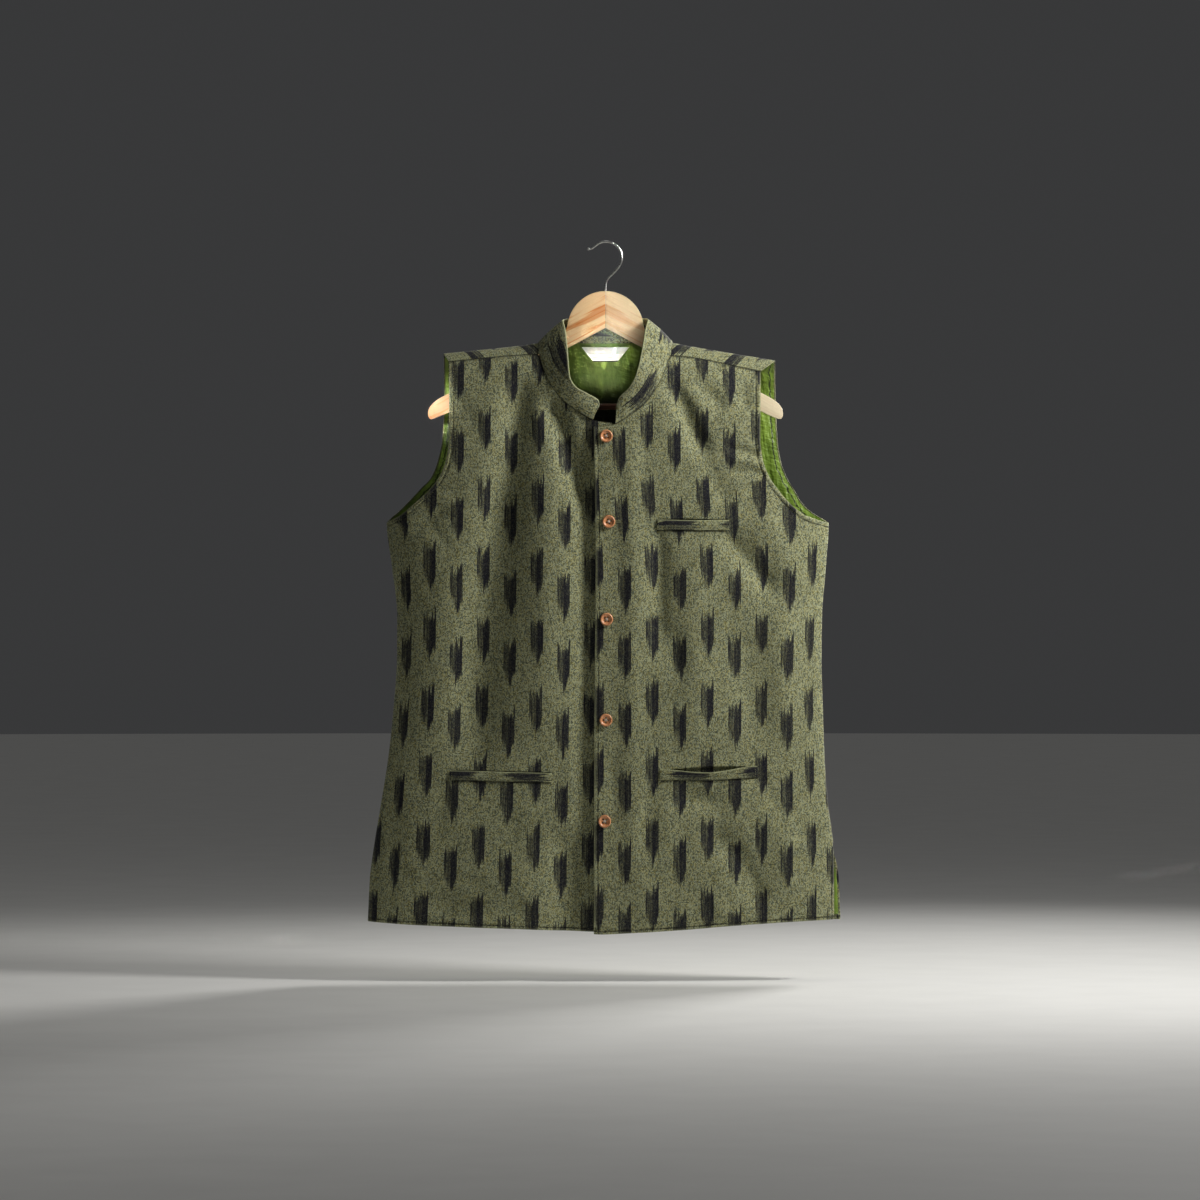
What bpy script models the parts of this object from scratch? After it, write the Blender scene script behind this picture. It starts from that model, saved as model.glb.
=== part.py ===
"""Nehru jacket on a flat wooden hanger: a sleeveless stand-collar waistcoat with five
buttons, three welt pockets, a lining and side slits, hung from a wire hook.

Axes: +Z up, the front faces -Y, the wearer's left is +X. The origin is the inside of
the hook, where a rail bears. Tables are in millimetres; meshes are made in metres.
"""
import math
from collections import namedtuple

import bmesh
import bpy
from mathutils import Matrix, Vector
from mathutils.bvhtree import BVHTree

MM = 0.001

# ---- Driving sizes, millimetres -------------------------------------------------
CLOTH_WALL = 1.2
LINING_WALL = 1.0
COLLAR_WALL = 2.0
LABEL_WALL = 1.0
WELT_WALL = 1.4
SEAM_GAP = 0.3
SIDE_SEAM = 0.35
SHOULDER_SEAM = 0.8
UNDERARM_HEIGHT = -355.0
UNDERLAP_EDGE = 10.5
SHOULDER_DROP_FRONT = 110.0
SHOULDER_DROP_BACK = 60.0
SLIT_TOP = -765.0

# A panel's columns are set out between these heights, near its hem and near its top.
HEM_LINE = -855.0
NECK_LINE = -200.0
SHOULDER_LINE = -150.0
RIDGE_LINE = -140.0

# Folds fade out over a strip beside the seams and below the shoulders, and the right
# front sinks by a layer of cloth where the left one laps over it.
FOLD_FREE_SIDE = 0.12
FOLD_FREE_MIDDLE = 8.0
FOLD_FREE_TOP_FRONT = -150.0
FOLD_FREE_TOP_BACK = -170.0
FOLD_FADE = 60.0
FOLD_END_SHARE = 0.18
LAP_START = -110.0
LAP_RUN = 80.0
LAP_DEPTH = CLOTH_WALL + SEAM_GAP + 0.15
SLIT_CURL = 4

LINING_LOOSE = 2.6
LINING_INSET = CLOTH_WALL + SEAM_GAP + 1.0
LINING_HEM = 9.0
LINING_NECK = 3.0
RIGHT_LINING_EXTRA = 0.4
LINING_EASE_COLUMNS = 3.0
LINING_EASE_ROWS = 2.0
FRONT_LINING_START = 3

HANGER_THICKNESS = 11.0
HANGER_SPLIT = 0.3
CROWN_RADIUS = 48.0
CROWN_CENTRE = -112.0
ARM_TOP_AT_NECK = -134.0
ARM_SLOPE = 0.52
NECK_HALF_WIDTH = 84.0
WOOD_EDGE_ROUNDING = 1.6
BAR_RADIUS = 4.0
BAR_HEIGHT = -209.0
BAR_HALF_LENGTH = 202.0
BORE_CLEARANCE = 0.3
ROD_SIDES = 12

HOOK_RADIUS = 20.0
HOOK_CENTRE = (0.5, -21.45)
WIRE_RADIUS = 1.45
SHANK_END = -84.0
SHANK_TOP = -50.0

BUTTON_RADIUS = 8.0
BUTTON_THICKNESS = 3.2
BUTTON_CLEARANCE = 0.35
BUTTON_TOUCH = 7.0
BUTTON_SIDES = 20
LABEL_GAP = 0.35

# ---- Tables ---------------------------------------------------------------------
# The body from hem to underarm: how far each side seam stands out, how far the front
# and the back stand off the hanger's plane at their middles, and how far the edges of
# the wearer's left slit part.
Section = namedtuple("Section", "height right_side left_side front back slit_out slit_back")
SECTIONS = (
    Section(-856, -298.8, 287.5, 41, 34, 7.0, 6.0),
    Section(-800, -296.0, 287.2, 41, 33, 5.0, 4.5),
    Section(SLIT_TOP, -291.5, 286.6, 41, 32, 0.0, 0.0),
    Section(-713, -283.0, 280.5, 41, 31, 0.0, 0.0),
    Section(-654, -273.6, 275.5, 41, 31, 0.0, 0.0),
    Section(-598, -267.3, 273.5, 42, 31, 0.0, 0.0),
    Section(-524, -262.1, 271.5, 43, 32, 0.0, 0.0),
    Section(-472, -261.8, 272.2, 44, 33, 0.0, 0.0),
    Section(-410, -268.3, 277.0, 45, 35, 0.0, 0.0),
    Section(UNDERARM_HEIGHT, -275.0, 280.5, 46, 37, 0.0, 0.0),
    Section(-115, -275.0, 280.5, 47, 38, 0.0, 0.0),
)

# The armhole from underarm to shoulder: where the front and back edges run.
Armhole = namedtuple("Armhole", "height front_right front_left back_right back_left")
ARMHOLES = (
    Armhole(UNDERARM_HEIGHT, -275.0, 280.5, -275.0, 280.5),
    Armhole(-352, -269.0, 268.0, -273.0, 277.0),
    Armhole(-347, -259.0, 252.5, -268.0, 268.5),
    Armhole(-341, -251.0, 243.0, -261.0, 259.0),
    Armhole(-329, -237.0, 229.0, -249.0, 247.0),
    Armhole(-315, -221.5, 217.0, -236.0, 239.0),
    Armhole(-296, -207.0, 204.0, -219.0, 228.0),
    Armhole(-275, -199.5, 196.5, -211.0, 220.5),
    Armhole(-250, -195.8, 193.6, -206.0, 217.0),
    Armhole(-200, -195.8, 194.0, -203.5, 214.5),
    Armhole(-140, -196.0, 194.6, -203.5, 213.0),
)

# Columns across a panel, from its middle edge to its side: the last two share a place,
# so that the wall meets the side seam square on.
FRONT_PLACES = (0.0, 0.065, 0.128, 0.20, 0.27, 0.335, 0.395, 0.46, 0.54, 0.62, 0.71, 0.80,
                0.88, 0.94, 0.98, 1.0, 1.0)
COLLAR_END_COLUMN = 2
FRONT_NECK_COLUMN = 7
BACK_PLACES = (0.0, 0.10, 0.20, 0.30, 0.40, 0.50, 0.60, 0.71, 0.80, 0.88, 0.94, 0.98, 1.0, 1.0)
BACK_NECK_COLUMN = 4
ARMHOLE_LAST_CELL = 0.985
SIDE_ROUNDNESS = 2.5
SIDE_TURN = 0.995

# Rows as shares of the way from hem to underarm and from underarm to the top.
LOWER_ROWS = (0.0, 0.04, 0.11, 0.18, 0.26, 0.34, 0.42, 0.50, 0.58, 0.66, 0.74, 0.82, 0.91)
FRONT_UPPER_ROWS = (0.0, 0.015, 0.04, 0.08, 0.14, 0.21, 0.29, 0.39, 0.50, 0.62, 0.75, 0.88,
                    1.0)
BACK_UPPER_ROWS = (0.0, 0.015, 0.04, 0.08, 0.14, 0.21, 0.29, 0.39, 0.50, 0.62, 0.74, 0.85,
                   0.93, 0.975, 0.993, 1.0)
OVER_SHOULDER_ROWS = (0.05, 0.22, 0.55, 1.0)

# Edges that cross the body, each a height for a place across.
Edge = namedtuple("Edge", "across height")
RIGHT_HEM = (
    Edge(-300, -855.0), Edge(-245, -858.5), Edge(-193, -860.5), Edge(-120, -863.0),
    Edge(-19, -866.5), Edge(20, -867.0),
)
LEFT_HEM = (
    Edge(-16, -869.5), Edge(-7, -870.0), Edge(30, -868.5), Edge(97, -864.5),
    Edge(159, -859.5), Edge(242, -854.5), Edge(290, -852.5),
)
BACK_HEM = (Edge(-300, -855.0), Edge(0, -860.0), Edge(300, -853.0))
RIGHT_FRONT_TOP = (
    Edge(-196.0, -153.0), Edge(-83.7, -144.3), Edge(-78.8, -160.0), Edge(-67.8, -184.0),
    Edge(-53.0, -202.4), Edge(-33.0, -217.0), Edge(-14.5, -227.3), Edge(12.0, -231.0),
)
LEFT_FRONT_TOP = (
    Edge(-14.8, -234.3), Edge(0.0, -234.0), Edge(12.1, -231.8), Edge(30.0, -221.0),
    Edge(47.0, -208.5), Edge(62.0, -189.0), Edge(75.5, -163.0), Edge(81.5, -146.3),
    Edge(194.6, -165.4),
)
SHOULDER_RIDGE = (
    Edge(-203.5, -142.3), Edge(-84.0, -129.0), Edge(-45.0, -119.0), Edge(0.0, -115.0),
    Edge(45.0, -119.0), Edge(84.0, -128.6), Edge(213.0, -151.0),
)
BACK_NECK = (
    Edge(-84.0, -129.0), Edge(-70.0, -128.8), Edge(-40.0, -129.2), Edge(0.0, -129.6),
    Edge(40.0, -129.2), Edge(70.0, -128.7), Edge(84.0, -128.6),
)
# The placket's edge, a place across for a height.
Placket = namedtuple("Placket", "height across")
PLACKET_EDGE = (
    Placket(-870, -14.6), Placket(-630, -14.2), Placket(-402, -12.4), Placket(-230, -14.8),
)

# The largest folds: from one end to the other, half width, and depth into the jacket.
Fold = namedtuple("Fold", "x1 z1 x2 z2 half_width depth")
RIGHT_FOLDS = (
    Fold(-27, -240, -24, -560, 12, 6.5),
    Fold(-24, -560, -31, -850, 14, 6.5),
    Fold(-70, -196, -26, -320, 14, 8.0),
    Fold(-70, -290, -74, -610, 25, -4.0),
    Fold(-106, -190, -128, -360, 22, 9.5),
    Fold(-132, -340, -168, -650, 34, 12.0),
    Fold(-56, -740, -52, -900, 20, 8.0),
    Fold(-150, -790, -154, -900, 28, -3.0),
    Fold(-215, -836, -100, -844, 14, 4.0),
)
LEFT_FOLDS = (
    Fold(84, -180, 124, -272, 13, 6.0),
    Fold(105, -166, 146, -211, 11, 5.0),
    Fold(166, -168, 180, -212, 13, 4.5),
    Fold(128, -285, 152, -330, 13, 3.5),
    Fold(148, -368, 214, -446, 17, 5.0),
    Fold(200, -346, 238, -430, 16, -3.0),
    Fold(66, -366, 68, -520, 13, 5.0),
    Fold(32, -260, 34, -800, 14, -2.6),
    Fold(112, -400, 114, -640, 18, -2.4),
    Fold(84, -486, 88, -545, 12, 3.5),
    Fold(176, -500, 184, -620, 20, 4.0),
    Fold(222, -440, 226, -620, 18, -4.0),
    Fold(84, -700, 142, -704, 13, 3.5),
    Fold(128, -744, 172, -774, 16, 4.5),
    Fold(168, -772, 196, -835, 16, 4.5),
    Fold(212, -720, 234, -820, 18, -4.0),
)
BACK_FOLDS = (
    Fold(-120, -420, -150, -850, 38, 5.0),
    Fold(70, -380, 90, -850, 42, 5.0),
    Fold(180, -470, 205, -850, 30, 4.0),
    Fold(-30, -520, -20, -850, 34, -4.0),
    Fold(-165, -210, -110, -330, 26, 3.5),
    Fold(170, -215, 120, -330, 26, 3.5),
)

# The collar's upper edge, by the share of the way from its front end to its middle back.
CollarTop = namedtuple("CollarTop", "share right_x right_z left_x left_z depth")
COLLAR_TOP = (
    CollarTop(0.00, -5.5, -205.0, 13.6, -206.5, -45.0),
    CollarTop(0.05, -12.0, -199.6, 18.6, -197.4, -47.0),
    CollarTop(0.12, -23.0, -193.6, 29.0, -187.2, -49.5),
    CollarTop(0.22, -37.0, -185.4, 37.4, -172.0, -51.5),
    CollarTop(0.30, -44.5, -172.0, 41.6, -158.0, -50.5),
    CollarTop(0.38, -46.5, -151.0, 44.8, -143.0, -45.5),
    CollarTop(0.46, -48.0, -131.0, 47.6, -126.0, -37.0),
    CollarTop(0.53, -50.5, -112.0, 50.4, -110.0, -25.5),
    CollarTop(0.60, -53.0, -101.6, 53.0, -100.8, -11.0),
    CollarTop(0.70, -49.5, -98.6, 49.5, -98.0, 8.0),
    CollarTop(0.84, -29.5, -97.2, 29.5, -97.0, 21.0),
    CollarTop(1.00, 0.0, -96.6, 0.0, -96.6, 24.0),
)
COLLAR_ROWS = 4
COLLAR_BOW = 1.5
COLLAR_SEAM_STEP = 0.8

# Buttons down the placket, and the welts: ends, their upper and lower edges, and how
# far the middle of the upper edge drops and stands off.
Button = namedtuple("Button", "across height")
BUTTONS = (
    Button(0.9, -247.0), Button(4.1, -353.9), Button(1.4, -476.0),
    Button(0.5, -602.0), Button(-1.1, -728.5),
)
Welt = namedtuple("Welt", "name panel x1 x2 top1 top2 low1 low2 droop gape")
WELTS = (
    Welt("chest_welt", "left", 64.5, 154.5, -351.5, -352.0, -364.4, -364.8, 0.6, 0.0),
    Welt("hip_welt_right", "right", -195.0, -67.0, -665.4, -668.4, -677.6, -679.8, 0.0, 0.0),
    Welt("hip_welt_left", "left", 68.0, 190.0, -664.0, -659.5, -677.2, -673.8, 5.5, 3.2),
)
WELT_CELLS = 18
WELT_ROWS = 2
WELT_CLEARANCE = SEAM_GAP + 0.1
GAPING_DROOP = 1.0
GAPING_SAG = 1.5
LABEL_TOP_HALF = 30.0
LABEL_LOW_HALF = 15.0
LABEL_DROP = 18.0
LABEL_START = 3.6
LABEL_CELLS = 6
LABEL_ROWS = 2

# The front edge of the hanger's arm from its crown to the tip and back under it.
ARM_SHOULDER = ((48.6, -110.0), (51.0, -115.0))
ARM_TOP_PLACES = (56.0, 120.0, 190.0)
ARM_TIP = (
    (205.0, -196.5), (215.0, -202.8), (221.0, -209.5), (223.2, -217.0), (222.0, -223.5),
    (218.0, -225.3),
)
ARM_UNDERSIDE = ((195.0, -215.2), (150.0, -190.5), (80.0, -152.6))
MITRE_FOOT = -110.0

# The hook's wire from its flared tip, with the tip's thickenings, to its straight shank.
HOOK_TIP = ((-21.5, -10.6), (-19.0, -10.3), (-16.6, -9.6))
TIP_SWELL = (0.9, 1.45, 1.1)
HOOK_NECK = (
    (11.5, -39.3), (6.0, -44.5), (2.2, -48.6), (0.5, -52.5), (0.0, -57.0), (0.0, -64.0),
)

# A button's section, turned about its middle: its rim stands up round a flat floor.
Ring = namedtuple("Ring", "radius height")
BUTTON_SECTION = (
    Ring(0.0, 1.5), Ring(5.0, 1.5), Ring(5.6, 2.3), Ring(6.7, BUTTON_THICKNESS),
    Ring(7.6, 2.6), Ring(BUTTON_RADIUS, 1.5), Ring(6.4, 0.2), Ring(5.6, 0.0), Ring(0.0, 0.0),
)

# ---- Small helpers --------------------------------------------------------------


def read(table, column, key):
    """A smooth value of one column at a key, never past its neighbours' values."""
    keys = [row[0] for row in table]
    values = [getattr(row, column) for row in table]
    if keys[0] > keys[-1]:
        keys.reverse()
        values.reverse()
    if key <= keys[0]:
        return values[0]
    if key >= keys[-1]:
        return values[-1]
    spans = [b - a for a, b in zip(keys, keys[1:])]
    rises = [(b - a) / span for a, b, span in zip(values, values[1:], spans)]
    slopes = [rises[0]]
    for low, high in zip(rises, rises[1:]):
        level = low * high <= 0.0
        slopes.append(0.0 if level else 2.0 * low * high / (low + high))
    slopes.append(rises[-1])
    index = max(i for i, start in enumerate(keys[:-1]) if start <= key)
    span = spans[index]
    t = (key - keys[index]) / span
    return (values[index] * (1 + 2 * t) * (1 - t) ** 2
            + slopes[index] * span * t * (1 - t) ** 2
            + values[index + 1] * t * t * (3 - 2 * t)
            + slopes[index + 1] * span * t * t * (t - 1))


def blend(start, end, share):
    return start + (end - start) * share


def soft_step(share):
    share = min(1.0, max(0.0, share))
    return share * share * (3.0 - 2.0 * share)


def round_over(share):
    """A quarter of an ellipse: 0 at the shoulder's ridge, 1 where the cloth hangs."""
    share = min(1.0, max(0.0, share))
    return math.sqrt(1.0 - (1.0 - share) ** 2)


def fold_depth(folds, x, z):
    """How far the folds push the cloth in at a place, fading out at their ends."""
    push = 0.0
    for fold in folds:
        run = Vector((fold.x2 - fold.x1, fold.z2 - fold.z1))
        away = Vector((x - fold.x1, z - fold.z1))
        along = away.dot(run) / run.length_squared
        across = away.x * run.y / run.length - away.y * run.x / run.length
        from_start = (along + FOLD_END_SHARE) / (2.0 * FOLD_END_SHARE)
        from_end = (1.0 + FOLD_END_SHARE - along) / (2.0 * FOLD_END_SHARE)
        ends = soft_step(from_start) * soft_step(from_end)
        push += fold.depth * ends * math.exp(-(across / fold.half_width) ** 2)
    return push


# ---- The garment's form ---------------------------------------------------------


def side_edge(panel, side, z):
    """Where a panel ends at the side: the seam below the underarm, the armhole above."""
    if z > UNDERARM_HEIGHT:
        return read(ARMHOLES, panel + "_" + side, z)
    edge = read(SECTIONS, side + "_side", z)
    if panel == "back" and side == "left":
        edge += read(SECTIONS, "slit_out", z)
    return edge


def place_of(places, column, z):
    """A column's share of the way across; by the armhole the last cell is narrow."""
    column = abs(column)
    if column == len(places) - 2 and z > UNDERARM_HEIGHT:
        return ARMHOLE_LAST_CELL
    return places[column]


def standing_off(panel, x, z, drop):
    """How far the cloth stands off the hanger's plane: a flat oval, level at its
    middle, that rounds in to the sides and over the shoulders."""
    full = read(SECTIONS, panel, z)
    width = abs(read(SECTIONS, ("right" if x < 0 else "left") + "_side", z))
    across = min(SIDE_TURN, abs(x) / width)
    share = (1.0 - across ** SIDE_ROUNDNESS) ** (1.0 / SIDE_ROUNDNESS)
    ridge = read(SHOULDER_RIDGE, "height", x)
    return full * share * round_over((ridge - z) / drop)


def row_height(hem, top, lower, upper, row):
    """The height of a row of the grid: the lower rows first, then the upper ones."""
    if row < len(lower):
        return blend(hem, UNDERARM_HEIGHT, lower[row])
    return blend(UNDERARM_HEIGHT, top, upper[row - len(lower)])


def front_edges(side):
    """The hem, the top edge and the folds of one front."""
    if side == "left":
        return LEFT_HEM, LEFT_FRONT_TOP, LEFT_FOLDS
    return RIGHT_HEM, RIGHT_FRONT_TOP, RIGHT_FOLDS


def middle_edge(side, z):
    """The wearer's left front laps over the right one."""
    return read(PLACKET_EDGE, "across", z) if side == "left" else UNDERLAP_EDGE


def front_point(side, column, row, folded=True):
    """A point of a front by column, middle edge to side, and row, hem to top."""
    hem, top, folds = front_edges(side)
    place = FRONT_PLACES[column]
    top_x = blend(middle_edge(side, NECK_LINE), side_edge("front", side, SHOULDER_LINE), place)
    hem_x = blend(middle_edge(side, HEM_LINE), side_edge("front", side, HEM_LINE), place)
    z = row_height(read(hem, "height", hem_x), read(top, "height", top_x),
                   LOWER_ROWS, FRONT_UPPER_ROWS, row)
    place = place_of(FRONT_PLACES, column, z)
    x = blend(middle_edge(side, z), side_edge("front", side, z), place)
    if column == len(FRONT_PLACES) - 1 and z <= UNDERARM_HEIGHT:
        return Vector((x, 0.0, z))
    y = -standing_off("front", x, z, SHOULDER_DROP_FRONT)
    if folded:
        hold = soft_step((1.0 - place) / FOLD_FREE_SIDE) * soft_step(abs(x) / FOLD_FREE_MIDDLE)
        hold *= soft_step((FOLD_FREE_TOP_FRONT - z) / FOLD_FADE)
        y += fold_depth(folds, x, z) * hold
    if side == "right":
        y += LAP_DEPTH * soft_step((x - LAP_START) / LAP_RUN)
    return Vector((x, y, z))


def back_point(column, row, folded=True):
    """A point of the back; columns run from -n to n, and the last rows go over the
    shoulder to its seam with the front."""
    side = "right" if column < 0 else "left"
    sign = -1.0 if column < 0 else 1.0
    place = BACK_PLACES[abs(column)]
    hem_x = blend(0.0, side_edge("back", side, HEM_LINE), place)
    top_x = back_across(side, place, RIDGE_LINE, 1.0)
    in_neck = abs(column) < BACK_NECK_COLUMN
    top = read(BACK_NECK if in_neck else SHOULDER_RIDGE, "height", top_x)
    if row >= len(LOWER_ROWS) + len(BACK_UPPER_ROWS):
        return over_shoulder(side, column, row, top_x, top)
    z = row_height(read(BACK_HEM, "height", hem_x), top, LOWER_ROWS, BACK_UPPER_ROWS, row)
    rise = (z - UNDERARM_HEIGHT) / (top - UNDERARM_HEIGHT)
    place = place_of(BACK_PLACES, column, z)
    x = back_across(side, place, z, min(1.0, max(0.0, rise)))
    slit = read(SECTIONS, "slit_back", z) * (side == "left" and z < SLIT_TOP)
    if abs(column) == len(BACK_PLACES) - 1 and z <= UNDERARM_HEIGHT:
        return Vector((x, slit, z))
    y = standing_off("back", x, z, SHOULDER_DROP_BACK) + slit * place ** SLIT_CURL
    if folded:
        hold = soft_step((1.0 - place) / FOLD_FREE_SIDE)
        hold *= soft_step((FOLD_FREE_TOP_BACK - z) / FOLD_FADE)
        y -= fold_depth(BACK_FOLDS, x, z) * hold
    return Vector((x, y, z))


def over_shoulder(side, column, row, top_x, top):
    """A point of the strip that wraps from the shoulder's ridge to its seam in front."""
    share = OVER_SHOULDER_ROWS[row - len(LOWER_ROWS) - len(BACK_UPPER_ROWS)]
    ridge_end = side_edge("back", side, RIDGE_LINE)
    seam_start = neck_corner(side)
    seam_end = side_edge("front", side, SHOULDER_LINE)
    far = (abs(top_x) - NECK_HALF_WIDTH) / (abs(ridge_end) - NECK_HALF_WIDTH)
    seam_x = blend(seam_start, seam_end, min(1.0, max(0.0, far)))
    x = blend(top_x, seam_x, share)
    z = blend(top, read(front_edges(side)[1], "height", seam_x), share)
    return Vector((x, -standing_off("front", x, z, SHOULDER_DROP_FRONT), z))


def neck_corner(side):
    """Where the shoulder seam meets the neck."""
    place = FRONT_PLACES[FRONT_NECK_COLUMN]
    return blend(middle_edge(side, NECK_LINE), side_edge("front", side, SHOULDER_LINE), place)


def back_across(side, place, z, rise):
    """Columns run straight up from the hem and gather to the neck's corner on the way."""
    edge = side_edge("back", side, z)
    corner_place = BACK_PLACES[BACK_NECK_COLUMN]
    corner = blend(edge * corner_place, math.copysign(NECK_HALF_WIDTH, edge), rise)
    if place <= corner_place:
        return corner * place / corner_place
    return blend(corner, edge, (place - corner_place) / (1.0 - corner_place))


# ---- Making solids --------------------------------------------------------------


def clear_scene():
    for item in list(bpy.data.objects):
        bpy.data.objects.remove(item, do_unlink=True)


def collection_named(name):
    group = bpy.data.collections.new(name)
    bpy.context.scene.collection.children.link(group)
    return group


def finish_of(name, colour, roughness, metallic=0.0):
    """A piece's own material."""
    material = bpy.data.materials.new(name)
    material.use_nodes = True
    shader = material.node_tree.nodes["Principled BSDF"]
    shader.inputs["Base Color"].default_value = (*colour, 1.0)
    shader.inputs["Roughness"].default_value = roughness
    shader.inputs["Metallic"].default_value = metallic
    return material


def add_piece(name, mesh, look, group):
    """Puts a mesh in the scene as one named piece."""
    piece = bpy.data.objects.new(name, mesh)
    group.objects.link(piece)
    piece.data.materials.clear()
    piece.data.materials.append(finish_of(name + "_finish", *look))
    piece.data.shade_smooth()
    piece.data.set_sharp_from_angle(angle=math.radians(40))
    return piece


def mesh_from(name, bm):
    mesh = bpy.data.meshes.new(name)
    bm.to_mesh(mesh)
    bm.free()
    return mesh


def cloth_grid(name, columns, rows, place, spare=None):
    """An open sheet of columns by rows cells, with place() giving each point in
    millimetres and spare() naming the points that the cut leaves off."""
    bm = bmesh.new()
    bmesh.ops.create_grid(bm, x_segments=columns, y_segments=rows, size=0.5)
    left_off = []
    for vert in bm.verts:
        column = round((vert.co.x + 0.5) * columns)
        row = round((vert.co.y + 0.5) * rows)
        if spare and spare(column, row):
            left_off.append(vert)
        else:
            vert.co = place(column, row) * MM
    bmesh.ops.delete(bm, geom=left_off, context="VERTS")
    return mesh_from(name, bm)


def add_cloth(name, mesh, wall, look, group, offset=-1.0):
    """A sheet thickened to a wall; an offset of -1 grows it to the sheet's inside."""
    piece = add_piece(name, mesh, look, group)
    thick = piece.modifiers.new("Wall", "SOLIDIFY")
    thick.thickness = wall * MM
    thick.offset = offset
    thick.use_quality_normals = True
    thick.use_even_offset = True
    return piece


def move_in(mesh, distance):
    """Moves a sheet's points in, against their normals; distance() is in millimetres."""
    shifts = [vert.normal * -distance(index) * MM for index, vert in enumerate(mesh.vertices)]
    for vert, shift in zip(mesh.vertices, shifts):
        vert.co += shift


def solid_of(piece, name, look, group):
    """A mesh piece made from a curve, its caps welded on."""
    bpy.context.view_layer.update()
    graph = bpy.context.evaluated_depsgraph_get()
    mesh = bpy.data.meshes.new_from_object(piece.evaluated_get(graph))
    mesh.transform(piece.matrix_world)
    bm = bmesh.new()
    bm.from_mesh(mesh)
    bmesh.ops.remove_doubles(bm, verts=bm.verts, dist=0.00001)
    bm.to_mesh(mesh)
    bm.free()
    bpy.data.objects.remove(piece, do_unlink=True)
    return add_piece(name, mesh, look, group)


def cut(piece, cutter):
    """Takes a cutter's shape out of a piece."""
    hole = piece.modifiers.new("Bore " + cutter.name, "BOOLEAN")
    hole.operation = "DIFFERENCE"
    hole.object = cutter


def rod_mesh(name, start, end, radius):
    """A closed rod between two points in millimetres."""
    run = Vector(end) - Vector(start)
    bm = bmesh.new()
    bmesh.ops.create_cone(bm, cap_ends=True, segments=ROD_SIDES, radius1=radius * MM,
                          radius2=radius * MM, depth=run.length * MM)
    middle = (Vector(start) + Vector(end)) / 2
    turn = Vector((0, 0, 1)).rotation_difference(run).to_matrix().to_4x4()
    bmesh.ops.transform(bm, matrix=Matrix.Translation(middle * MM) @ turn, verts=bm.verts)
    return mesh_from(name, bm)


# ---- The garment's pieces -------------------------------------------------------

CLOTH_LOOK = ((0.17, 0.19, 0.08), 0.9)
LINING_LOOK = ((0.12, 0.26, 0.03), 0.45)
LABEL_LOOK = ((0.8, 0.8, 0.78), 0.7)
BUTTON_LOOK = ((0.5, 0.25, 0.12), 0.45)
WOOD_LOOK = ((0.75, 0.5, 0.26), 0.5)
BAR_LOOK = ((0.3, 0.14, 0.06), 0.45)
STEEL_LOOK = ((0.75, 0.75, 0.75), 0.2, 1.0)

FRONT_ROWS = len(LOWER_ROWS) + len(FRONT_UPPER_ROWS) - 1
BACK_MAIN_ROWS = len(LOWER_ROWS) + len(BACK_UPPER_ROWS) - 1
BACK_ROWS = BACK_MAIN_ROWS + len(OVER_SHOULDER_ROWS)
FRONT_CELLS = len(FRONT_PLACES) - 1
BACK_HALF_CELLS = len(BACK_PLACES) - 1


def front_sheet(side, column, row):
    """A front's points, a little short of the seams at its side and shoulder."""
    point = front_point(side, column, row)
    if column == FRONT_CELLS and row <= len(LOWER_ROWS):
        point.y -= SIDE_SEAM
    if row == FRONT_ROWS and column >= FRONT_NECK_COLUMN:
        point.z -= SHOULDER_SEAM
    return point


def add_front(side, group):
    """One front; its columns run from the wearer's right to the left in both."""
    def place(column, row):
        return front_sheet(side, column if side == "left" else FRONT_CELLS - column, row)

    name = "front_" + side
    mesh = cloth_grid(name, FRONT_CELLS, FRONT_ROWS, place)
    return add_cloth(name, mesh, CLOTH_WALL, CLOTH_LOOK, group)


def back_sheet(column, row):
    point = back_point(column, row)
    if abs(column) == BACK_HALF_CELLS and row <= len(LOWER_ROWS):
        point.y += SIDE_SEAM
    if row == BACK_ROWS:
        point.z += SHOULDER_SEAM
    return point


def add_back(group):
    """The back, which wraps over both shoulders to seams on the front."""
    def place(column, row):
        return back_sheet(BACK_HALF_CELLS - column, row)

    def spare(column, row):
        return row > BACK_MAIN_ROWS and abs(BACK_HALF_CELLS - column) < BACK_NECK_COLUMN

    mesh = cloth_grid("back", 2 * BACK_HALF_CELLS, BACK_ROWS, place, spare)
    return add_cloth("back", mesh, CLOTH_WALL, CLOTH_LOOK, group)


def lining_distance(edge_share):
    """A lining lies close to the cloth where it is sewn and hangs off it elsewhere."""
    return LINING_INSET + LINING_LOOSE * soft_step(edge_share)


def every_second(last):
    return list(range(0, last, 2)) + [last]


def add_front_lining(side, group):
    """The front's own columns and every second row, kept off its edges."""
    columns = list(range(FRONT_LINING_START, FRONT_CELLS - 1))
    rows = every_second(FRONT_ROWS)
    count = len(columns) - 1

    def place(column, row):
        order = column if side == "left" else count - column
        point = front_point(side, columns[order], rows[row])
        if row == 0:
            point.z += LINING_HEM
        if rows[row] == FRONT_ROWS:
            point.z -= LINING_NECK
        return point

    name = "lining_front_" + side
    mesh = cloth_grid(name, count, len(rows) - 1, place)

    def distance(index):
        row, column = divmod(index, count + 1)
        from_side = count - column if side == "left" else column
        edge = min(from_side / LINING_EASE_COLUMNS, (len(rows) - 1 - row) / LINING_EASE_ROWS)
        return lining_distance(edge) + (RIGHT_LINING_EXTRA if side == "right" else 0.0)

    move_in(mesh, distance)
    return add_cloth(name, mesh, LINING_WALL, LINING_LOOK, group)


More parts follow.
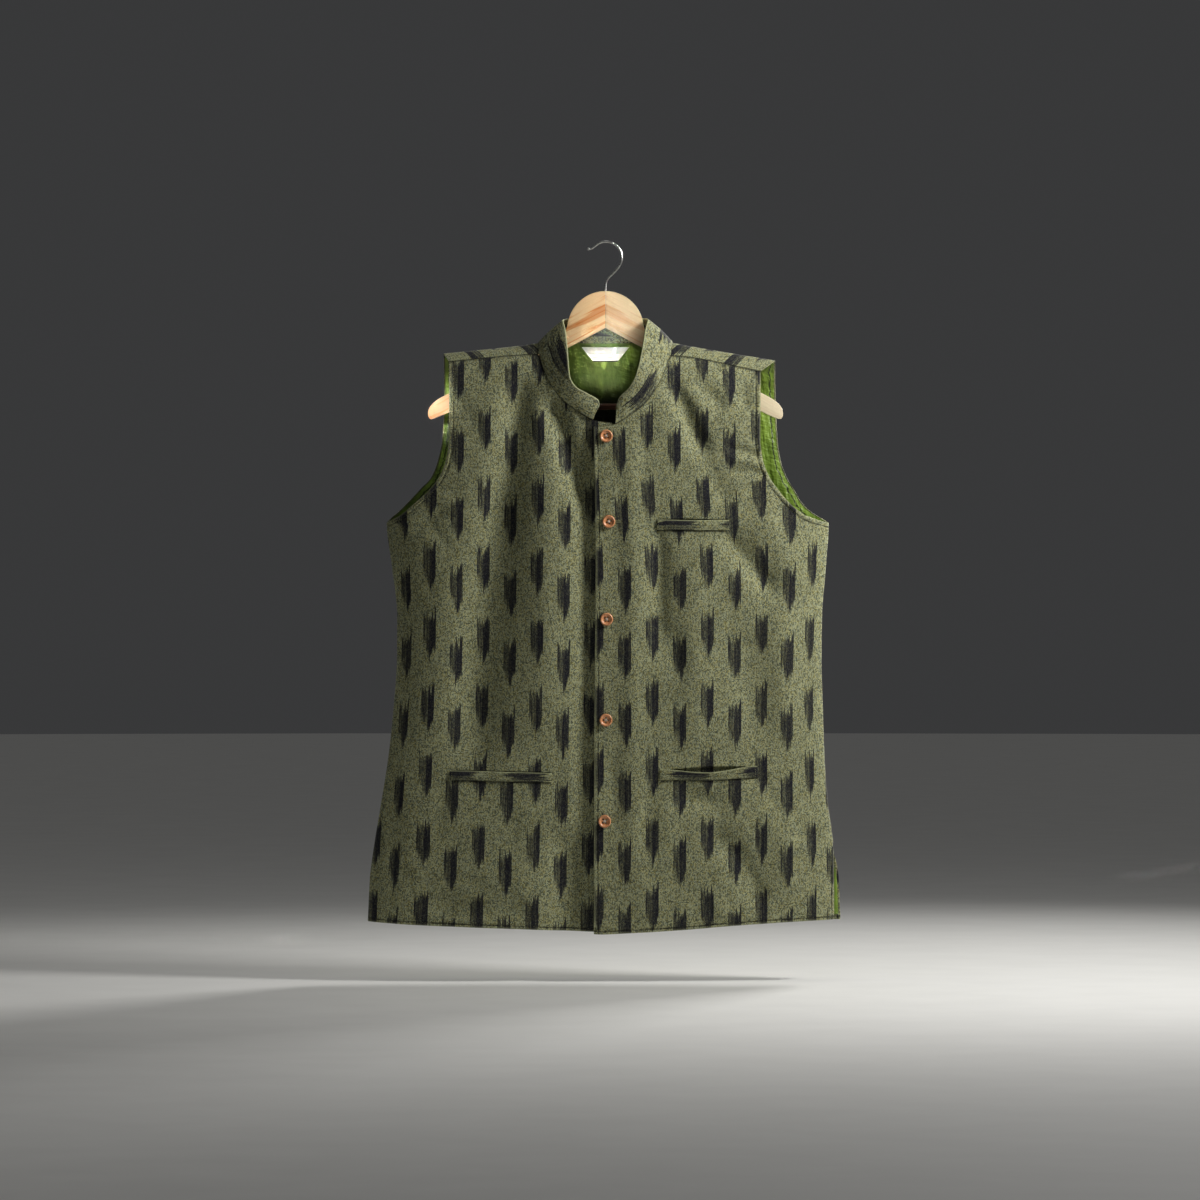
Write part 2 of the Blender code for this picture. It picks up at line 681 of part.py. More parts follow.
def add_back_lining(group):
    """The back's own columns and every second row, up to the shoulders' ridge."""
    last_row = BACK_MAIN_ROWS - 1
    rows = every_second(last_row)
    reach = BACK_HALF_CELLS - 2

    def place(column, row):
        point = back_point(reach - column, rows[row])
        if row == 0:
            point.z += LINING_HEM
        return point

    mesh = cloth_grid("lining_back", 2 * reach, len(rows) - 1, place)

    def distance(index):
        row, column = divmod(index, 2 * reach + 1)
        from_side = min(column, 2 * reach - column)
        edge = min(from_side / LINING_EASE_COLUMNS, (len(rows) - 1 - row) / LINING_EASE_ROWS)
        return lining_distance(edge)

    move_in(mesh, distance)
    return add_cloth("lining_back", mesh, LINING_WALL, LINING_LOOK, group)


# ---- The collar -----------------------------------------------------------------


def neck_seam():
    """The neck's seam, point by point: the right front's end, round the back, and on to
    the left front's end."""
    def front_run(side):
        columns = range(COLLAR_END_COLUMN, FRONT_NECK_COLUMN + 1)
        return [front_point(side, column, FRONT_ROWS) for column in columns]

    def over_run(sign):
        rows = range(BACK_ROWS - 1, BACK_MAIN_ROWS - 1, -1)
        return [back_point(sign * BACK_NECK_COLUMN, row) for row in rows]

    back = [back_point(column, BACK_MAIN_ROWS)
            for column in range(1 - BACK_NECK_COLUMN, BACK_NECK_COLUMN)]
    right = front_run("right") + over_run(-1)
    left = front_run("left") + over_run(1)
    return right + back + list(reversed(left))


def collar_top(share, side):
    return Vector((read(COLLAR_TOP, side + "_x", share), read(COLLAR_TOP, "depth", share),
                   read(COLLAR_TOP, side + "_z", share)))


def add_collar(group):
    """A stand collar in one band, leaning in, its ends meeting over the placket."""
    seam = neck_seam()
    steps = [0.0]
    for start, end in zip(seam, seam[1:]):
        steps.append(steps[-1] + (end - start).length)
    behind = [point.y * 10 - abs(point.x) for point in seam]
    middle = behind.index(max(behind))

    def place(column, row):
        base = seam[column]
        if column <= middle:
            top = collar_top(steps[column] / steps[middle], "right")
        else:
            share = (steps[-1] - steps[column]) / (steps[-1] - steps[middle])
            top = collar_top(share, "left")
        up = (top - base).normalized()
        base = base + up * COLLAR_SEAM_STEP
        share = row / COLLAR_ROWS
        outward = Vector((base.x, base.y, 0.0)).normalized()
        return base.lerp(top, share) + outward * COLLAR_BOW * 4 * share * (1 - share)

    mesh = cloth_grid("collar", len(seam) - 1, COLLAR_ROWS, place)
    return add_cloth("collar", mesh, COLLAR_WALL, CLOTH_LOOK, group, offset=0.0)


# ---- What lies on the panels ----------------------------------------------------


def surface_of(mesh):
    """A finder for the depth of a sheet, in millimetres, at a place across and up."""
    bm = bmesh.new()
    bm.from_mesh(mesh)
    tree = BVHTree.FromBMesh(bm)
    bm.free()

    def depth(x, z, start=-1.0, way=1.0):
        hit = tree.ray_cast(Vector((x * MM, start, z * MM)), Vector((0.0, way, 0.0)))[0]
        return hit.y / MM

    return depth


def inner_face_of(mesh, wall):
    """A finder for the depth of a back sheet's inner face, seen from behind."""
    depth = surface_of(mesh)

    def inner(x, z):
        return depth(x, z, start=1.0, way=-1.0) - wall

    return inner


def add_welt(welt, depth, group):
    """A pocket's welt, laid on the panel's points; its mouth gapes by its droop."""
    def place(column, row):
        share = column / WELT_CELLS
        x = blend(welt.x1, welt.x2, share)
        middle = math.sin(math.pi * share) ** 2
        top = blend(welt.top1, welt.top2, share) - welt.droop * middle
        sag = GAPING_SAG if welt.droop > GAPING_DROOP else 0.0
        low = blend(welt.low1, welt.low2, share) - sag * middle
        up = row / WELT_ROWS
        z = blend(low, top, up)
        proud = WELT_CLEARANCE + welt.gape * middle * up ** 1.5
        return Vector((x, depth(x, z) - proud, z))

    mesh = cloth_grid(welt.name, WELT_CELLS, WELT_ROWS, place)
    return add_cloth(welt.name, mesh, WELT_WALL, CLOTH_LOOK, group, offset=1.0)


def add_button(name, button, depth, group):
    """A turned button with a raised rim, flat on the placket."""
    bm = bmesh.new()
    points = [bm.verts.new((ring.radius * MM, 0.0, ring.height * MM)) for ring in BUTTON_SECTION]
    for start, end in zip(points, points[1:]):
        bm.edges.new((start, end))
    piece = add_piece(name, mesh_from(name, bm), BUTTON_LOOK, group)
    turned = piece.modifiers.new("Turned", "SCREW")
    turned.steps = BUTTON_SIDES
    turned.render_steps = BUTTON_SIDES
    turned.use_merge_vertices = True
    turned.merge_threshold = 0.00001
    turned.use_smooth_shade = True
    steps = (-BUTTON_TOUCH, 0.0, BUTTON_TOUCH)
    touch = min(depth(button.across + dx, button.height + dz) for dx in steps for dz in steps)
    piece.rotation_euler = (math.radians(90), 0.0, 0.0)
    piece.location = Vector((button.across, touch - BUTTON_CLEARANCE, button.height)) * MM
    return piece


def add_label(lining_depth, group):
    """A bare woven label, hung from the back neck inside the lining."""
    def place(column, row):
        share = row / LABEL_ROWS
        half = blend(LABEL_LOW_HALF, LABEL_TOP_HALF, share)
        x = half - 2.0 * half * column / LABEL_CELLS
        top = read(BACK_NECK, "height", 0.0) - LABEL_START
        z = blend(top - LABEL_DROP, top, share)
        return Vector((x, lining_depth(x, z) - LABEL_GAP, z))

    mesh = cloth_grid("label", LABEL_CELLS, LABEL_ROWS, place)
    return add_cloth("label", mesh, LABEL_WALL, LABEL_LOOK, group)


# ---- The hanger -----------------------------------------------------------------


def arm_outline():
    """One half of the hanger seen from the front, from its crown round to the mitre."""
    start = HANGER_SPLIT / 2
    crown = []
    for degrees in range(90, 9, -10):
        angle = math.radians(degrees)
        crown.append((max(start, CROWN_RADIUS * math.cos(angle)),
                      CROWN_CENTRE + CROWN_RADIUS * math.sin(angle)))
    top = [(x, ARM_TOP_AT_NECK - ARM_SLOPE * (x - NECK_HALF_WIDTH)) for x in ARM_TOP_PLACES]
    return [*crown, *ARM_SHOULDER, *top, *ARM_TIP, *ARM_UNDERSIDE, (start, MITRE_FOOT)]


def add_hanger_half(side, cutters, group):
    """Half of the hanger: a flat board sawn to its outline, its edges rounded."""
    sign = 1.0 if side == "left" else -1.0
    curve = bpy.data.curves.new("outline", "CURVE")
    curve.dimensions = "2D"
    curve.fill_mode = "BOTH"
    curve.extrude = HANGER_THICKNESS / 2 * MM
    outline = arm_outline()
    spline = curve.splines.new("POLY")
    spline.points.add(len(outline) - 1)
    for point, (x, z) in zip(spline.points, outline):
        point.co = (sign * x * MM, z * MM, 0.0, 1.0)
    spline.use_cyclic_u = True
    board = bpy.data.objects.new("board", curve)
    group.objects.link(board)
    board.rotation_euler = (math.radians(90), 0.0, 0.0)
    piece = solid_of(board, "hanger_half_" + side, WOOD_LOOK, group)
    rounding = piece.modifiers.new("Edges", "BEVEL")
    rounding.width = WOOD_EDGE_ROUNDING * MM
    rounding.segments = 2
    rounding.limit_method = "ANGLE"
    rounding.angle_limit = math.radians(60)
    for cutter in cutters:
        cut(piece, cutter)
    return piece


def hook_route():
    """The hook's wire: a short flared tip, a round bow, and a straight shank."""
    cx, cz = HOOK_CENTRE
    bow = []
    for degrees in range(135, -41, -11):
        angle = math.radians(degrees)
        bow.append((cx + HOOK_RADIUS * math.cos(angle), cz + HOOK_RADIUS * math.sin(angle)))
    return [*HOOK_TIP, *bow, *HOOK_NECK, (0.0, SHANK_END)]


def add_hook(group):
    curve = bpy.data.curves.new("wire", "CURVE")
    curve.dimensions = "3D"
    curve.bevel_depth = WIRE_RADIUS * MM
    curve.bevel_resolution = 2
    curve.use_fill_caps = True
    route = hook_route()
    spline = curve.splines.new("POLY")
    spline.points.add(len(route) - 1)
    for index, (point, (x, z)) in enumerate(zip(spline.points, route)):
        point.co = (x * MM, 0.0, z * MM, 1.0)
        point.radius = TIP_SWELL[index] if index < len(TIP_SWELL) else 1.0
    wire = bpy.data.objects.new("wire", curve)
    group.objects.link(wire)
    return solid_of(wire, "hanger_hook", STEEL_LOOK, group)


def add_hanger(group, cutter_group):
    """Two half boards, the hook in its bore, and the bar in its two sockets."""
    bores = []
    for name, start, end, radius in (
        ("hook_bore", (0, 0, SHANK_END - 1.0), (0, 0, SHANK_TOP), WIRE_RADIUS + BORE_CLEARANCE),
        ("bar_bore", (-BAR_HALF_LENGTH - BORE_CLEARANCE, 0, BAR_HEIGHT),
         (BAR_HALF_LENGTH + BORE_CLEARANCE, 0, BAR_HEIGHT), BAR_RADIUS + BORE_CLEARANCE),
    ):
        cutter = bpy.data.objects.new(name, rod_mesh(name, start, end, radius))
        cutter_group.objects.link(cutter)
        cutter.hide_render = True
        cutter.display_type = "WIRE"
        bores.append(cutter)
    add_hanger_half("right", bores, group)
    add_hanger_half("left", bores, group)
    add_hook(group)
    ends = (-BAR_HALF_LENGTH, 0, BAR_HEIGHT), (BAR_HALF_LENGTH, 0, BAR_HEIGHT)
    add_piece("hanger_bar", rod_mesh("hanger_bar", *ends, BAR_RADIUS), BAR_LOOK, group)


def main():
    clear_scene()
    group = collection_named("nehru_jacket")
    cutter_group = collection_named("cutters")
    add_hanger(group, cutter_group)
    right = add_front("right", group)
    left = add_front("left", group)
    add_back(group)
    add_collar(group)
    for side in ("right", "left"):
        add_front_lining(side, group)
    lining = add_back_lining(group)
    depth_of = {"right": surface_of(right.data), "left": surface_of(left.data)}
    for welt in WELTS:
        add_welt(welt, depth_of[welt.panel], group)
    for index, button in enumerate(BUTTONS, 1):
        add_button("button_" + str(index), button, depth_of["left"], group)
    add_label(inner_face_of(lining.data, LINING_WALL), group)


main()
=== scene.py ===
# %% [markdown]
# # A nehru jacket on a flat wooden hanger
# A sleeveless jacket with a stand collar, five buttons and three welt pockets hangs from a
# wire hook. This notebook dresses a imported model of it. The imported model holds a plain
# solid of every piece, called a node, already at its place and size, and the cells below
# give each one its cloth, thread, wood or steel. Objects are in metres with +Z up. The
# jacket faces -Y and its wearer's left is +X. Tables are in millimetres, as a tailor's are.

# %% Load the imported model
import math
from collections import namedtuple

import bmesh
import bpy
import numpy as np
from mathutils import Matrix, Vector, noise
from mathutils.kdtree import KDTree


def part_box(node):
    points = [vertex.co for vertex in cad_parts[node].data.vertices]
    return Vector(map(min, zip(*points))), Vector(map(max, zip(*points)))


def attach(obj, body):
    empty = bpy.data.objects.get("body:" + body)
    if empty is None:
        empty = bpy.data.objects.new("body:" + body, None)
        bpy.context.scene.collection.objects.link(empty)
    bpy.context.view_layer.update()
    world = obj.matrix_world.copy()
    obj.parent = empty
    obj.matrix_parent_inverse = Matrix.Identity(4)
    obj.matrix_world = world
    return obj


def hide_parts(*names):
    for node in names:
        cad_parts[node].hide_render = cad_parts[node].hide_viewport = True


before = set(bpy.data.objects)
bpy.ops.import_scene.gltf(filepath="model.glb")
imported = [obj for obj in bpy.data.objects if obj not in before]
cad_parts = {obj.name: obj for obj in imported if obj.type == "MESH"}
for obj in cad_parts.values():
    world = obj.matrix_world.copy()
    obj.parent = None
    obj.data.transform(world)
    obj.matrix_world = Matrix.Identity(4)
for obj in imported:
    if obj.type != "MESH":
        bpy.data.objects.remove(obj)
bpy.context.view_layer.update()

MM = 0.001
print("packed nodes:", ", ".join(sorted(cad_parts)))

# %% [markdown]
# ## A studio
# The jacket is looked at from straight in front, level with its middle, through a long
# lens, so that its sides don't bend. A camera could be aimed with a constraint, but a level
# camera needs only a quarter turn about X. The picture's width at the jacket sets how far
# off it stands.

# %% Camera
LENS = 180.0
SENSOR = 36.0
PICTURE_WIDTH = 1.5
FRONT_PLANE = -0.04
PICTURE_MIDDLE = (-0.0069, -0.4519)


def in_scene(name, data):
    """An object that holds the data, put in the scene."""
    made = bpy.data.objects.new(name, data)
    bpy.context.scene.collection.objects.link(made)
    return made


camera_data = bpy.data.cameras.new("camera")
camera_data.lens = LENS
camera_data.sensor_width = SENSOR
camera = in_scene("camera", camera_data)
distance = PICTURE_WIDTH * LENS / SENSOR
camera.location = (PICTURE_MIDDLE[0], FRONT_PLANE - distance, PICTURE_MIDDLE[1])
camera.rotation_euler = (math.radians(90), 0.0, 0.0)
bpy.context.scene.camera = camera
print(f"the camera stands {distance:.2f} m off")

# %% [markdown]
# A key light stands close by to the right, so that it rakes across the folds. Its spread is
# wide, and its size makes the shadows' edges soft. Three much weaker lamps have a narrow
# spread, as if they shone through a tube: each reaches one place that the key can't, which
# are the neck, the label and one tip of the hanger. A large lamp behind lights the back. A
# low sun would throw long shadows, so this weak one stands straight overhead, for the floor.
# A lamp may stand in some view's field, so all of them are hidden from the camera.

# %% Lights
Light = namedtuple("Light", "name kind place aim size spread power")
LIGHTS = (
    Light("key", "AREA", (1.12, -0.50, 0.36), (0.0, 0.0, 0.0), 0.42, 180.0, 21.8),
    Light("neck", "AREA", (0.55, -1.05, 0.92), (0.0, 0.0, -0.082), 0.08, 3.7, 0.0148),
    Light("label", "AREA", (0.12, -1.5, 0.1), (0.0, 0.02, -0.140), 0.03, 2.6, 0.0145),
    Light("tip", "AREA", (-0.75, -1.3, 0.1), (-0.213, 0.0, -0.205), 0.04, 2.4, 0.018),
    Light("back", "AREA", (1.5, 2.5, 0.7), (0.0, 0.0, -0.3), 1.0, 70.0, 13.0),
    Light("sun", "SUN", (0.0, 0.0, 3.0), (0.0, 0.0, 0.0), 0.0, 20.0, 0.2),
)
LAMP_TINT = (1.0, 0.985, 0.95)
ROOM_TINT = (0.80, 0.81, 0.83, 1.0)
ROOM_LIGHT = 0.05


def add_light(light):
    """Makes one lamp of the table, aimed at its mark."""
    data = bpy.data.lights.new(light.name, light.kind)
    data.energy = light.power
    data.color = LAMP_TINT
    if light.kind == "AREA":
        data.size = light.size
        data.spread = math.radians(light.spread)
    else:
        data.angle = math.radians(light.spread)
    lamp = in_scene(light.name, data)
    lamp.visible_camera = False
    lamp.location = light.place
    aim = Vector(light.aim) - Vector(light.place)
    lamp.rotation_euler = aim.to_track_quat("-Z", "Y").to_euler()


for light in LIGHTS:
    add_light(light)

bpy.context.scene.view_settings.view_transform = "Standard"
world = bpy.data.worlds.new("studio")
world.use_nodes = True
background = world.node_tree.nodes["Background"]
background.inputs["Color"].default_value = ROOM_TINT
background.inputs["Strength"].default_value = ROOM_LIGHT
bpy.context.scene.world = world
print("lamps:", ", ".join(light.name for light in LIGHTS))

# %% [markdown]
# ## Writing shaders as sums
# A material is a graph of nodes, and a long formula is tedious to wire by hand. The class
# below wraps a node's output so that Python's own operators add the Math nodes: 1 - mask is
# a subtract node. Every other kind of node comes from one method, which is given the
# node's type, its settings and the values or links of its sockets.

# %% A wrapped socket, and the finish that owns it


class Wire:
    """A node's output. Arithmetic on it adds Math nodes to the finish it belongs to."""

    def __init__(self, finish, output):
        self.finish = finish
        self.output = output

    def maths(self, operation, *values):
        """Adds one Math node, fed with numbers or wires."""
        settings = {"operation": operation}
        return self.finish.node("ShaderNodeMath", settings, dict(enumerate(values)))

    def __add__(self, other):
        return self.maths("ADD", self, other)

    def __radd__(self, other):
        return self.maths("ADD", other, self)

    def __sub__(self, other):
        return self.maths("SUBTRACT", self, other)

    def __rsub__(self, other):
        return self.maths("SUBTRACT", other, self)

    def __mul__(self, other):
        return self.maths("MULTIPLY", self, other)

    def __rmul__(self, other):
        return self.maths("MULTIPLY", other, self)

    def __truediv__(self, other):
        return self.maths("DIVIDE", self, other)

    def __mod__(self, other):
        return self.maths("FLOORED_MODULO", self, other)

    def __pow__(self, other):
        return self.maths("POWER", self, other)

    def __abs__(self):
        return self.maths("ABSOLUTE", self)

    def floor(self):
        return self.maths("FLOOR", self)

    def sine(self):
        return self.maths("SINE", self)

    def step(self, low, high):
        """0 below low and 1 above high, with a soft climb between them."""
        settings = {"interpolation_type": "SMOOTHSTEP"}
        values = {"Value": self, "From Min": low, "From Max": high}
        return self.finish.node("ShaderNodeMapRange", settings, values)


class Finish:
    """A material under construction: its nodes, and the shader that they feed."""

    def __init__(self, name):
        self.material = bpy.data.materials.new(name)
        self.material.use_nodes = True
        self.tree = self.material.node_tree
        self.shader = self.tree.nodes["Principled BSDF"]

    def node(self, kind, settings=None, values=None, out=0):
        """Adds a node, sets it up, then fills its sockets with values or links."""
        made = self.tree.nodes.new(kind)
        for key, value in (settings or {}).items():
            setattr(made, key, value)
        for key, value in (values or {}).items():
            if isinstance(value, Wire):
                self.tree.links.new(value.output, made.inputs[key])
            else:
                made.inputs[key].default_value = value
        return Wire(self, made.outputs[out])

    def place(self, x, y=0.0, z=0.0):
        """A vector from three numbers or wires."""
        return self.node("ShaderNodeCombineXYZ", None, {0: x, 1: y, 2: z})

    def cloud(self, place, scale=1.0, detail=2.0):
        """Smooth noise about 0.5, with swellings one over the scale apart."""
        values = {"Vector": place, "Scale": scale, "Detail": detail}
        return self.node("ShaderNodeTexNoise", None, values)

    def dice(self, *numbers):
        """Three unlinked random numbers, the same wherever the given ones are."""
        place = self.place(*numbers)
        colour = self.node("ShaderNodeTexWhiteNoise", None, {"Vector": place}, out=1)
        return [self.node("ShaderNodeSeparateXYZ", None, {0: colour}, out=i) for i in range(3)]

    def mix(self, share, start, end):
        """One colour passing into another."""
        settings = {"data_type": "RGBA"}
        return self.node("ShaderNodeMix", settings, {0: share, 6: start, 7: end}, out=2)

    def tint(self, colour, strength):
        """A colour made lighter or darker by a number."""
        grey = self.place(strength, strength, strength)
        settings = {"operation": "MULTIPLY"}
        return self.node("ShaderNodeVectorMath", settings, {0: colour, 1: grey})

    def map(self, name):
        """The two numbers of one of the mesh's UV maps."""
        found = self.node("ShaderNodeUVMap", {"uv_map": name})
        return [self.node("ShaderNodeSeparateXYZ", None, {0: found}, out=i) for i in range(2)]

    def marked(self, name):
        """A number painted on the mesh's points."""
        return self.node("ShaderNodeAttribute", {"attribute_name": name}, out=2)

    def here(self):
        """The place in the object's own space, in millimetres, as three numbers."""
        spot = self.node("ShaderNodeTexCoord", out=3)
        return [self.node("ShaderNodeSeparateXYZ", None, {0: spot}, out=i) * 1000.0
                for i in range(3)]

    def feed(self, **values):
        """Links wires to the shader's sockets, or sets them."""
        for key, value in values.items():
            socket = self.shader.inputs[key.replace("_", " ")]
            if isinstance(value, Wire):
                self.tree.links.new(value.output, socket)
            else:
                socket.default_value = value

    def bump(self, height, depth):
        """Feeds the Normal from a height between 0 and 1, worth depth millimetres."""
        settings = {"Height": height, "Distance": depth * MM, "Strength": 1.0}
        self.feed(Normal=self.node("ShaderNodeBump", None, settings))


def colour(red, green, blue):
    """A dyer's colour, counted from 0 to 255 as on a screen, in Blender's linear light."""
    shares = [value / 255.0 for value in (red, green, blue)]
    light = [s / 12.92 if s <= 0.04045 else ((s + 0.055) / 1.055) ** 2.4 for s in shares]
    return (*light, 1.0)


# %% [markdown]
# ## The ikat cloth
# The jacket is cut from handwoven cotton. In ikat the warp is tied and dyed before it is
# woven, so each mark is a bundle of threads whose ends don't quite line up, ragged at the
# top and running out at the bottom. A painted image could hold the marks, but a formula
# stays sharp at any distance and needs no file. It reads the cloth map, a UV map in
# millimetres of flat cloth: u runs across the warp and v along it.

# %% One ikat mark, repeated
PITCH = 34.4
REPEAT = 86.5
LIFT = 28.0
SWAY = 2.0
NEEDLE = 1.7
NEEDLE_SHIFT = 0.35
HALF_MARK = 8.1
MARK_TOP = 27.0
SHOULDER_RISE = 4.0
TOP_SCATTER = 19.0
SPLIT_DROP = 11.0
POINT_RISE = 6.0
CORE_FOOT = -34.0
CORE_SCATTER = 8.0
FEATHER_FOOT = -32.0
FEATHER_SCATTER = 9.0
FOOT_SLANT = 17.0
FEATHER_INK = 0.68
CORE_INK = 0.98
INK_CURVE = 0.85


def dye(finish, u, v):
    """How much dark dye the warp holds: nothing between the marks, 1 in their cores."""
    sway = finish.cloud(finish.place(u * 0.02, v * 0.012), 1.0, 2.0) - 0.5
    column = ((u + sway * SWAY) / PITCH).floor()
    across = u + sway * SWAY - (column + 0.5) * PITCH
    height = v - (column % 2.0) * LIFT
    row = (height / REPEAT).floor()
    whole = finish.dice(column, row, 3.7)
    spot = across / NEEDLE + NEEDLE_SHIFT
    needle = spot.floor()
    from_middle = abs(spot - needle - 0.5) * 2.0
    thread = finish.dice(column, needle, row)
    along = height - (row + 0.5) * REPEAT + (whole[0] - 0.5) * 4.0
    out = across / HALF_MARK
    edge = (whole[1] - 0.5) * 0.12
    core = out.step(edge - 0.03, edge + 0.05)
    split = thread[0].step(0.72, 0.76)
    top = MARK_TOP + abs(out) ** 2.5 * SHOULDER_RISE + out.step(0.5, 0.9) * SHOULDER_RISE
    top = top + (thread[0] - 0.5) * TOP_SCATTER
    point = from_middle ** 2.0 * POINT_RISE
    core_foot = CORE_FOOT + out * FOOT_SLANT + (thread[1] - 0.5) * CORE_SCATTER
    feather_foot = FEATHER_FOOT - out * FOOT_SLANT + (thread[1] - 0.5) * FEATHER_SCATTER
    foot = feather_foot + (core_foot - feather_foot) * core
    fade = 4.0 + (1.0 - core) * 10.0
    ragged = 1.5 + (1.0 - core) * 4.0
    held = ((top - split * SPLIT_DROP - point - along) / ragged).step(-0.5, 1.0)
    held = held * ((along - foot - point) / fade).step(-0.3, 1.0)
    side = 1.0 - abs(across).step(HALF_MARK - 0.5, HALF_MARK + 0.4)
    streak = finish.cloud(finish.place(u * 1.5, v * 0.05, 71.0), 1.0, 2.0)
    gap = thread[2].step(0.62, 0.66) * from_middle.step(0.6, 0.95)
    core_ink = CORE_INK - gap * 0.45 - streak.step(0.56, 0.70) * 0.18
    outline = (0.0 - out).step(0.82, 0.88) * 0.22
    feather_ink = FEATHER_INK + (thread[2] - 0.5) * 0.22 + (streak - 0.5) * 1.1 + outline
    ink = feather_ink + (core_ink - feather_ink) * core
    return (held * side * ink).step(0.0, 1.0) ** INK_CURVE


# %% [markdown]
# Handspun yarn is never even. Short clouds of noise, stretched along each thread, stand
# for thick and thin places, and a few sharper ones for slubs and dark flecks. The weave
# itself is a plain over-and-under, drawn as crossing sines and raised only as bump, since
# a thread is finer than any cell of the mesh.
#
# Three more numbers are painted on the points of a mesh. The first is 1 where an edge is
# painted pale, as worn cloth and as a painted highlight along its fold. "shade" is painted
# shade, 1 in a deep seam, and "seam" is the distance to a row of stitches, whose groove is
# drawn dark as painted shade. A mesh without that last paint reads 0, so the paint counts
# from SEAM_ZERO: a plain 0 then lies far from any stitch.

# %% Ground, flecks and weave
WARP_PITCH = 1.15
WEFT_PITCH = 1.4
SEAM_ZERO = 100.0
LEMON_YARN = (182, 168, 84)
SLATE_YARN = (104, 122, 124)
SLUB_YARN = (52, 56, 52)
HIGHLIGHT_AND_WEAR_YARN = (190, 194, 150)
SHADOW = (14, 15, 10)
DYE_DEEP = (12, 12, 20)
DYE_THIN = (30, 30, 43)
GROOVE_SHADE_LEAST = 0.36
GROOVE_SHADE_MORE = 0.42
WEAVE_DEPTH = 0.42


def ikat(name, lit, shaded):
    """The jacket's cloth, with its ground between two colours."""
    finish = Finish(name)
    u, v = finish.map("cloth")
    end = (u / WARP_PITCH).floor()
    pick = (v / WEFT_PITCH).floor()
    crossing = finish.dice(end, pick, 5.3)
    grain = finish.cloud(finish.place(u * 0.62, v * 0.50), 1.0, 3.0)
    warp = finish.cloud(finish.place(u * 0.85, v * 0.06, 7.0), 1.0, 1.0)
    weft = finish.cloud(finish.place(u * 0.07, v * 0.75, 13.0), 1.0, 1.0)
    broad = finish.cloud(finish.place(u * 0.018, v * 0.012, 3.0), 1.0, 2.0)
    mottle = crossing[0] - 0.5 + (grain - 0.5) * 0.1 + (warp - 0.5) * 0.8
    mottle = mottle + (weft - 0.5) * 0.3
    ground = finish.mix((mottle + 0.5).step(0.0, 1.0), colour(*shaded), colour(*lit))
    lemon = crossing[2].step(0.5, 0.9) * 0.32
    ground = finish.mix(lemon, ground, colour(*LEMON_YARN))
    slate = (1.0 - crossing[2]).step(0.6, 0.9) * 0.22
    ground = finish.mix(slate, ground, colour(*SLATE_YARN))
    ground = finish.tint(ground, 0.92 + broad * 0.16)
    slub = finish.cloud(finish.place(u * 0.11, v * 0.75, 31.0), 1.0, 0.0).step(0.76, 0.80)
    fleck = crossing[1].step(0.95, 0.97)
    dark = (slub * 0.5 + fleck * 0.35).step(0.0, 1.0)
    ground = finish.mix(dark, ground, colour(*SLUB_YARN))
    ink = dye(finish, u, v)
    core = finish.mix(grain.step(0.3, 0.7), colour(*DYE_DEEP), colour(*DYE_THIN))
    cloth = finish.mix(ink * (0.97 + (crossing[1] - 0.5) * 0.16), ground, core)
    # Edges painted pale, as worn cloth and as a painted highlight along the fold.
    cloth = finish.mix(finish.marked("wear") * 0.6, cloth, colour(*HIGHLIGHT_AND_WEAR_YARN))
    # The stitches' grooves and the lines by the welts are drawn dark as painted shade, deeper in
    # some places than in others.
    uneven_groove_shade = finish.cloud(finish.place(u * 0.09, v * 0.09, 51.0), 1.0, 2.0).step(0.35, 0.6)
    groove = 1.0 - abs(finish.marked("seam") - SEAM_ZERO).step(0.35, 1.4)
    shade = finish.marked("shade") * 0.93 + groove * (GROOVE_SHADE_LEAST + uneven_groove_shade * GROOVE_SHADE_MORE)
    cloth = finish.mix(shade.step(0.0, 1.0), cloth, colour(*SHADOW))
    over = (u * (math.tau / (2.0 * WARP_PITCH))).sine()
    under = (v * (math.tau / (2.0 * WEFT_PITCH))).sine()
    weave = over * under
    height = weave * 0.15 + grain * 0.35 + warp * 0.25 + crossing[0] * 0.1
    finish.feed(Base_Color=cloth, Roughness=0.82 + (grain - 0.5) * 0.2)
    finish.feed(Sheen_Weight=0.08, Sheen_Roughness=0.5, Specular_IOR_Level=0.18)
    finish.bump(height, WEAVE_DEPTH)
    return finish.material


ikat_cotton = ikat("ikat_cotton", (170, 174, 138), (78, 82, 62))
print("ikat cloth:", len(ikat_cotton.node_tree.nodes), "nodes")

# %% [markdown]
# ## The jacket's form
# The same few tables that shape the solids shape the cloth here, so the cloth lies on its
# solid: sections from hem to underarm, the armholes, the hems, the neck, and the folds.
# They are read with a curve that never swings past its neighbours. NumPy reads a whole
# grid of points in one call, which keeps tens of thousands of points quick.

# %% Tables shared with the solids
CLOTH_WALL = 1.2
UNDERARM_HEIGHT = -355.0
UNDERLAP_EDGE = 10.5
SHOULDER_DROP_FRONT = 110.0
SHOULDER_DROP_BACK = 60.0
SLIT_TOP = -765.0
NECK_HALF_WIDTH = 84.0
SIDE_ROUNDNESS = 2.5

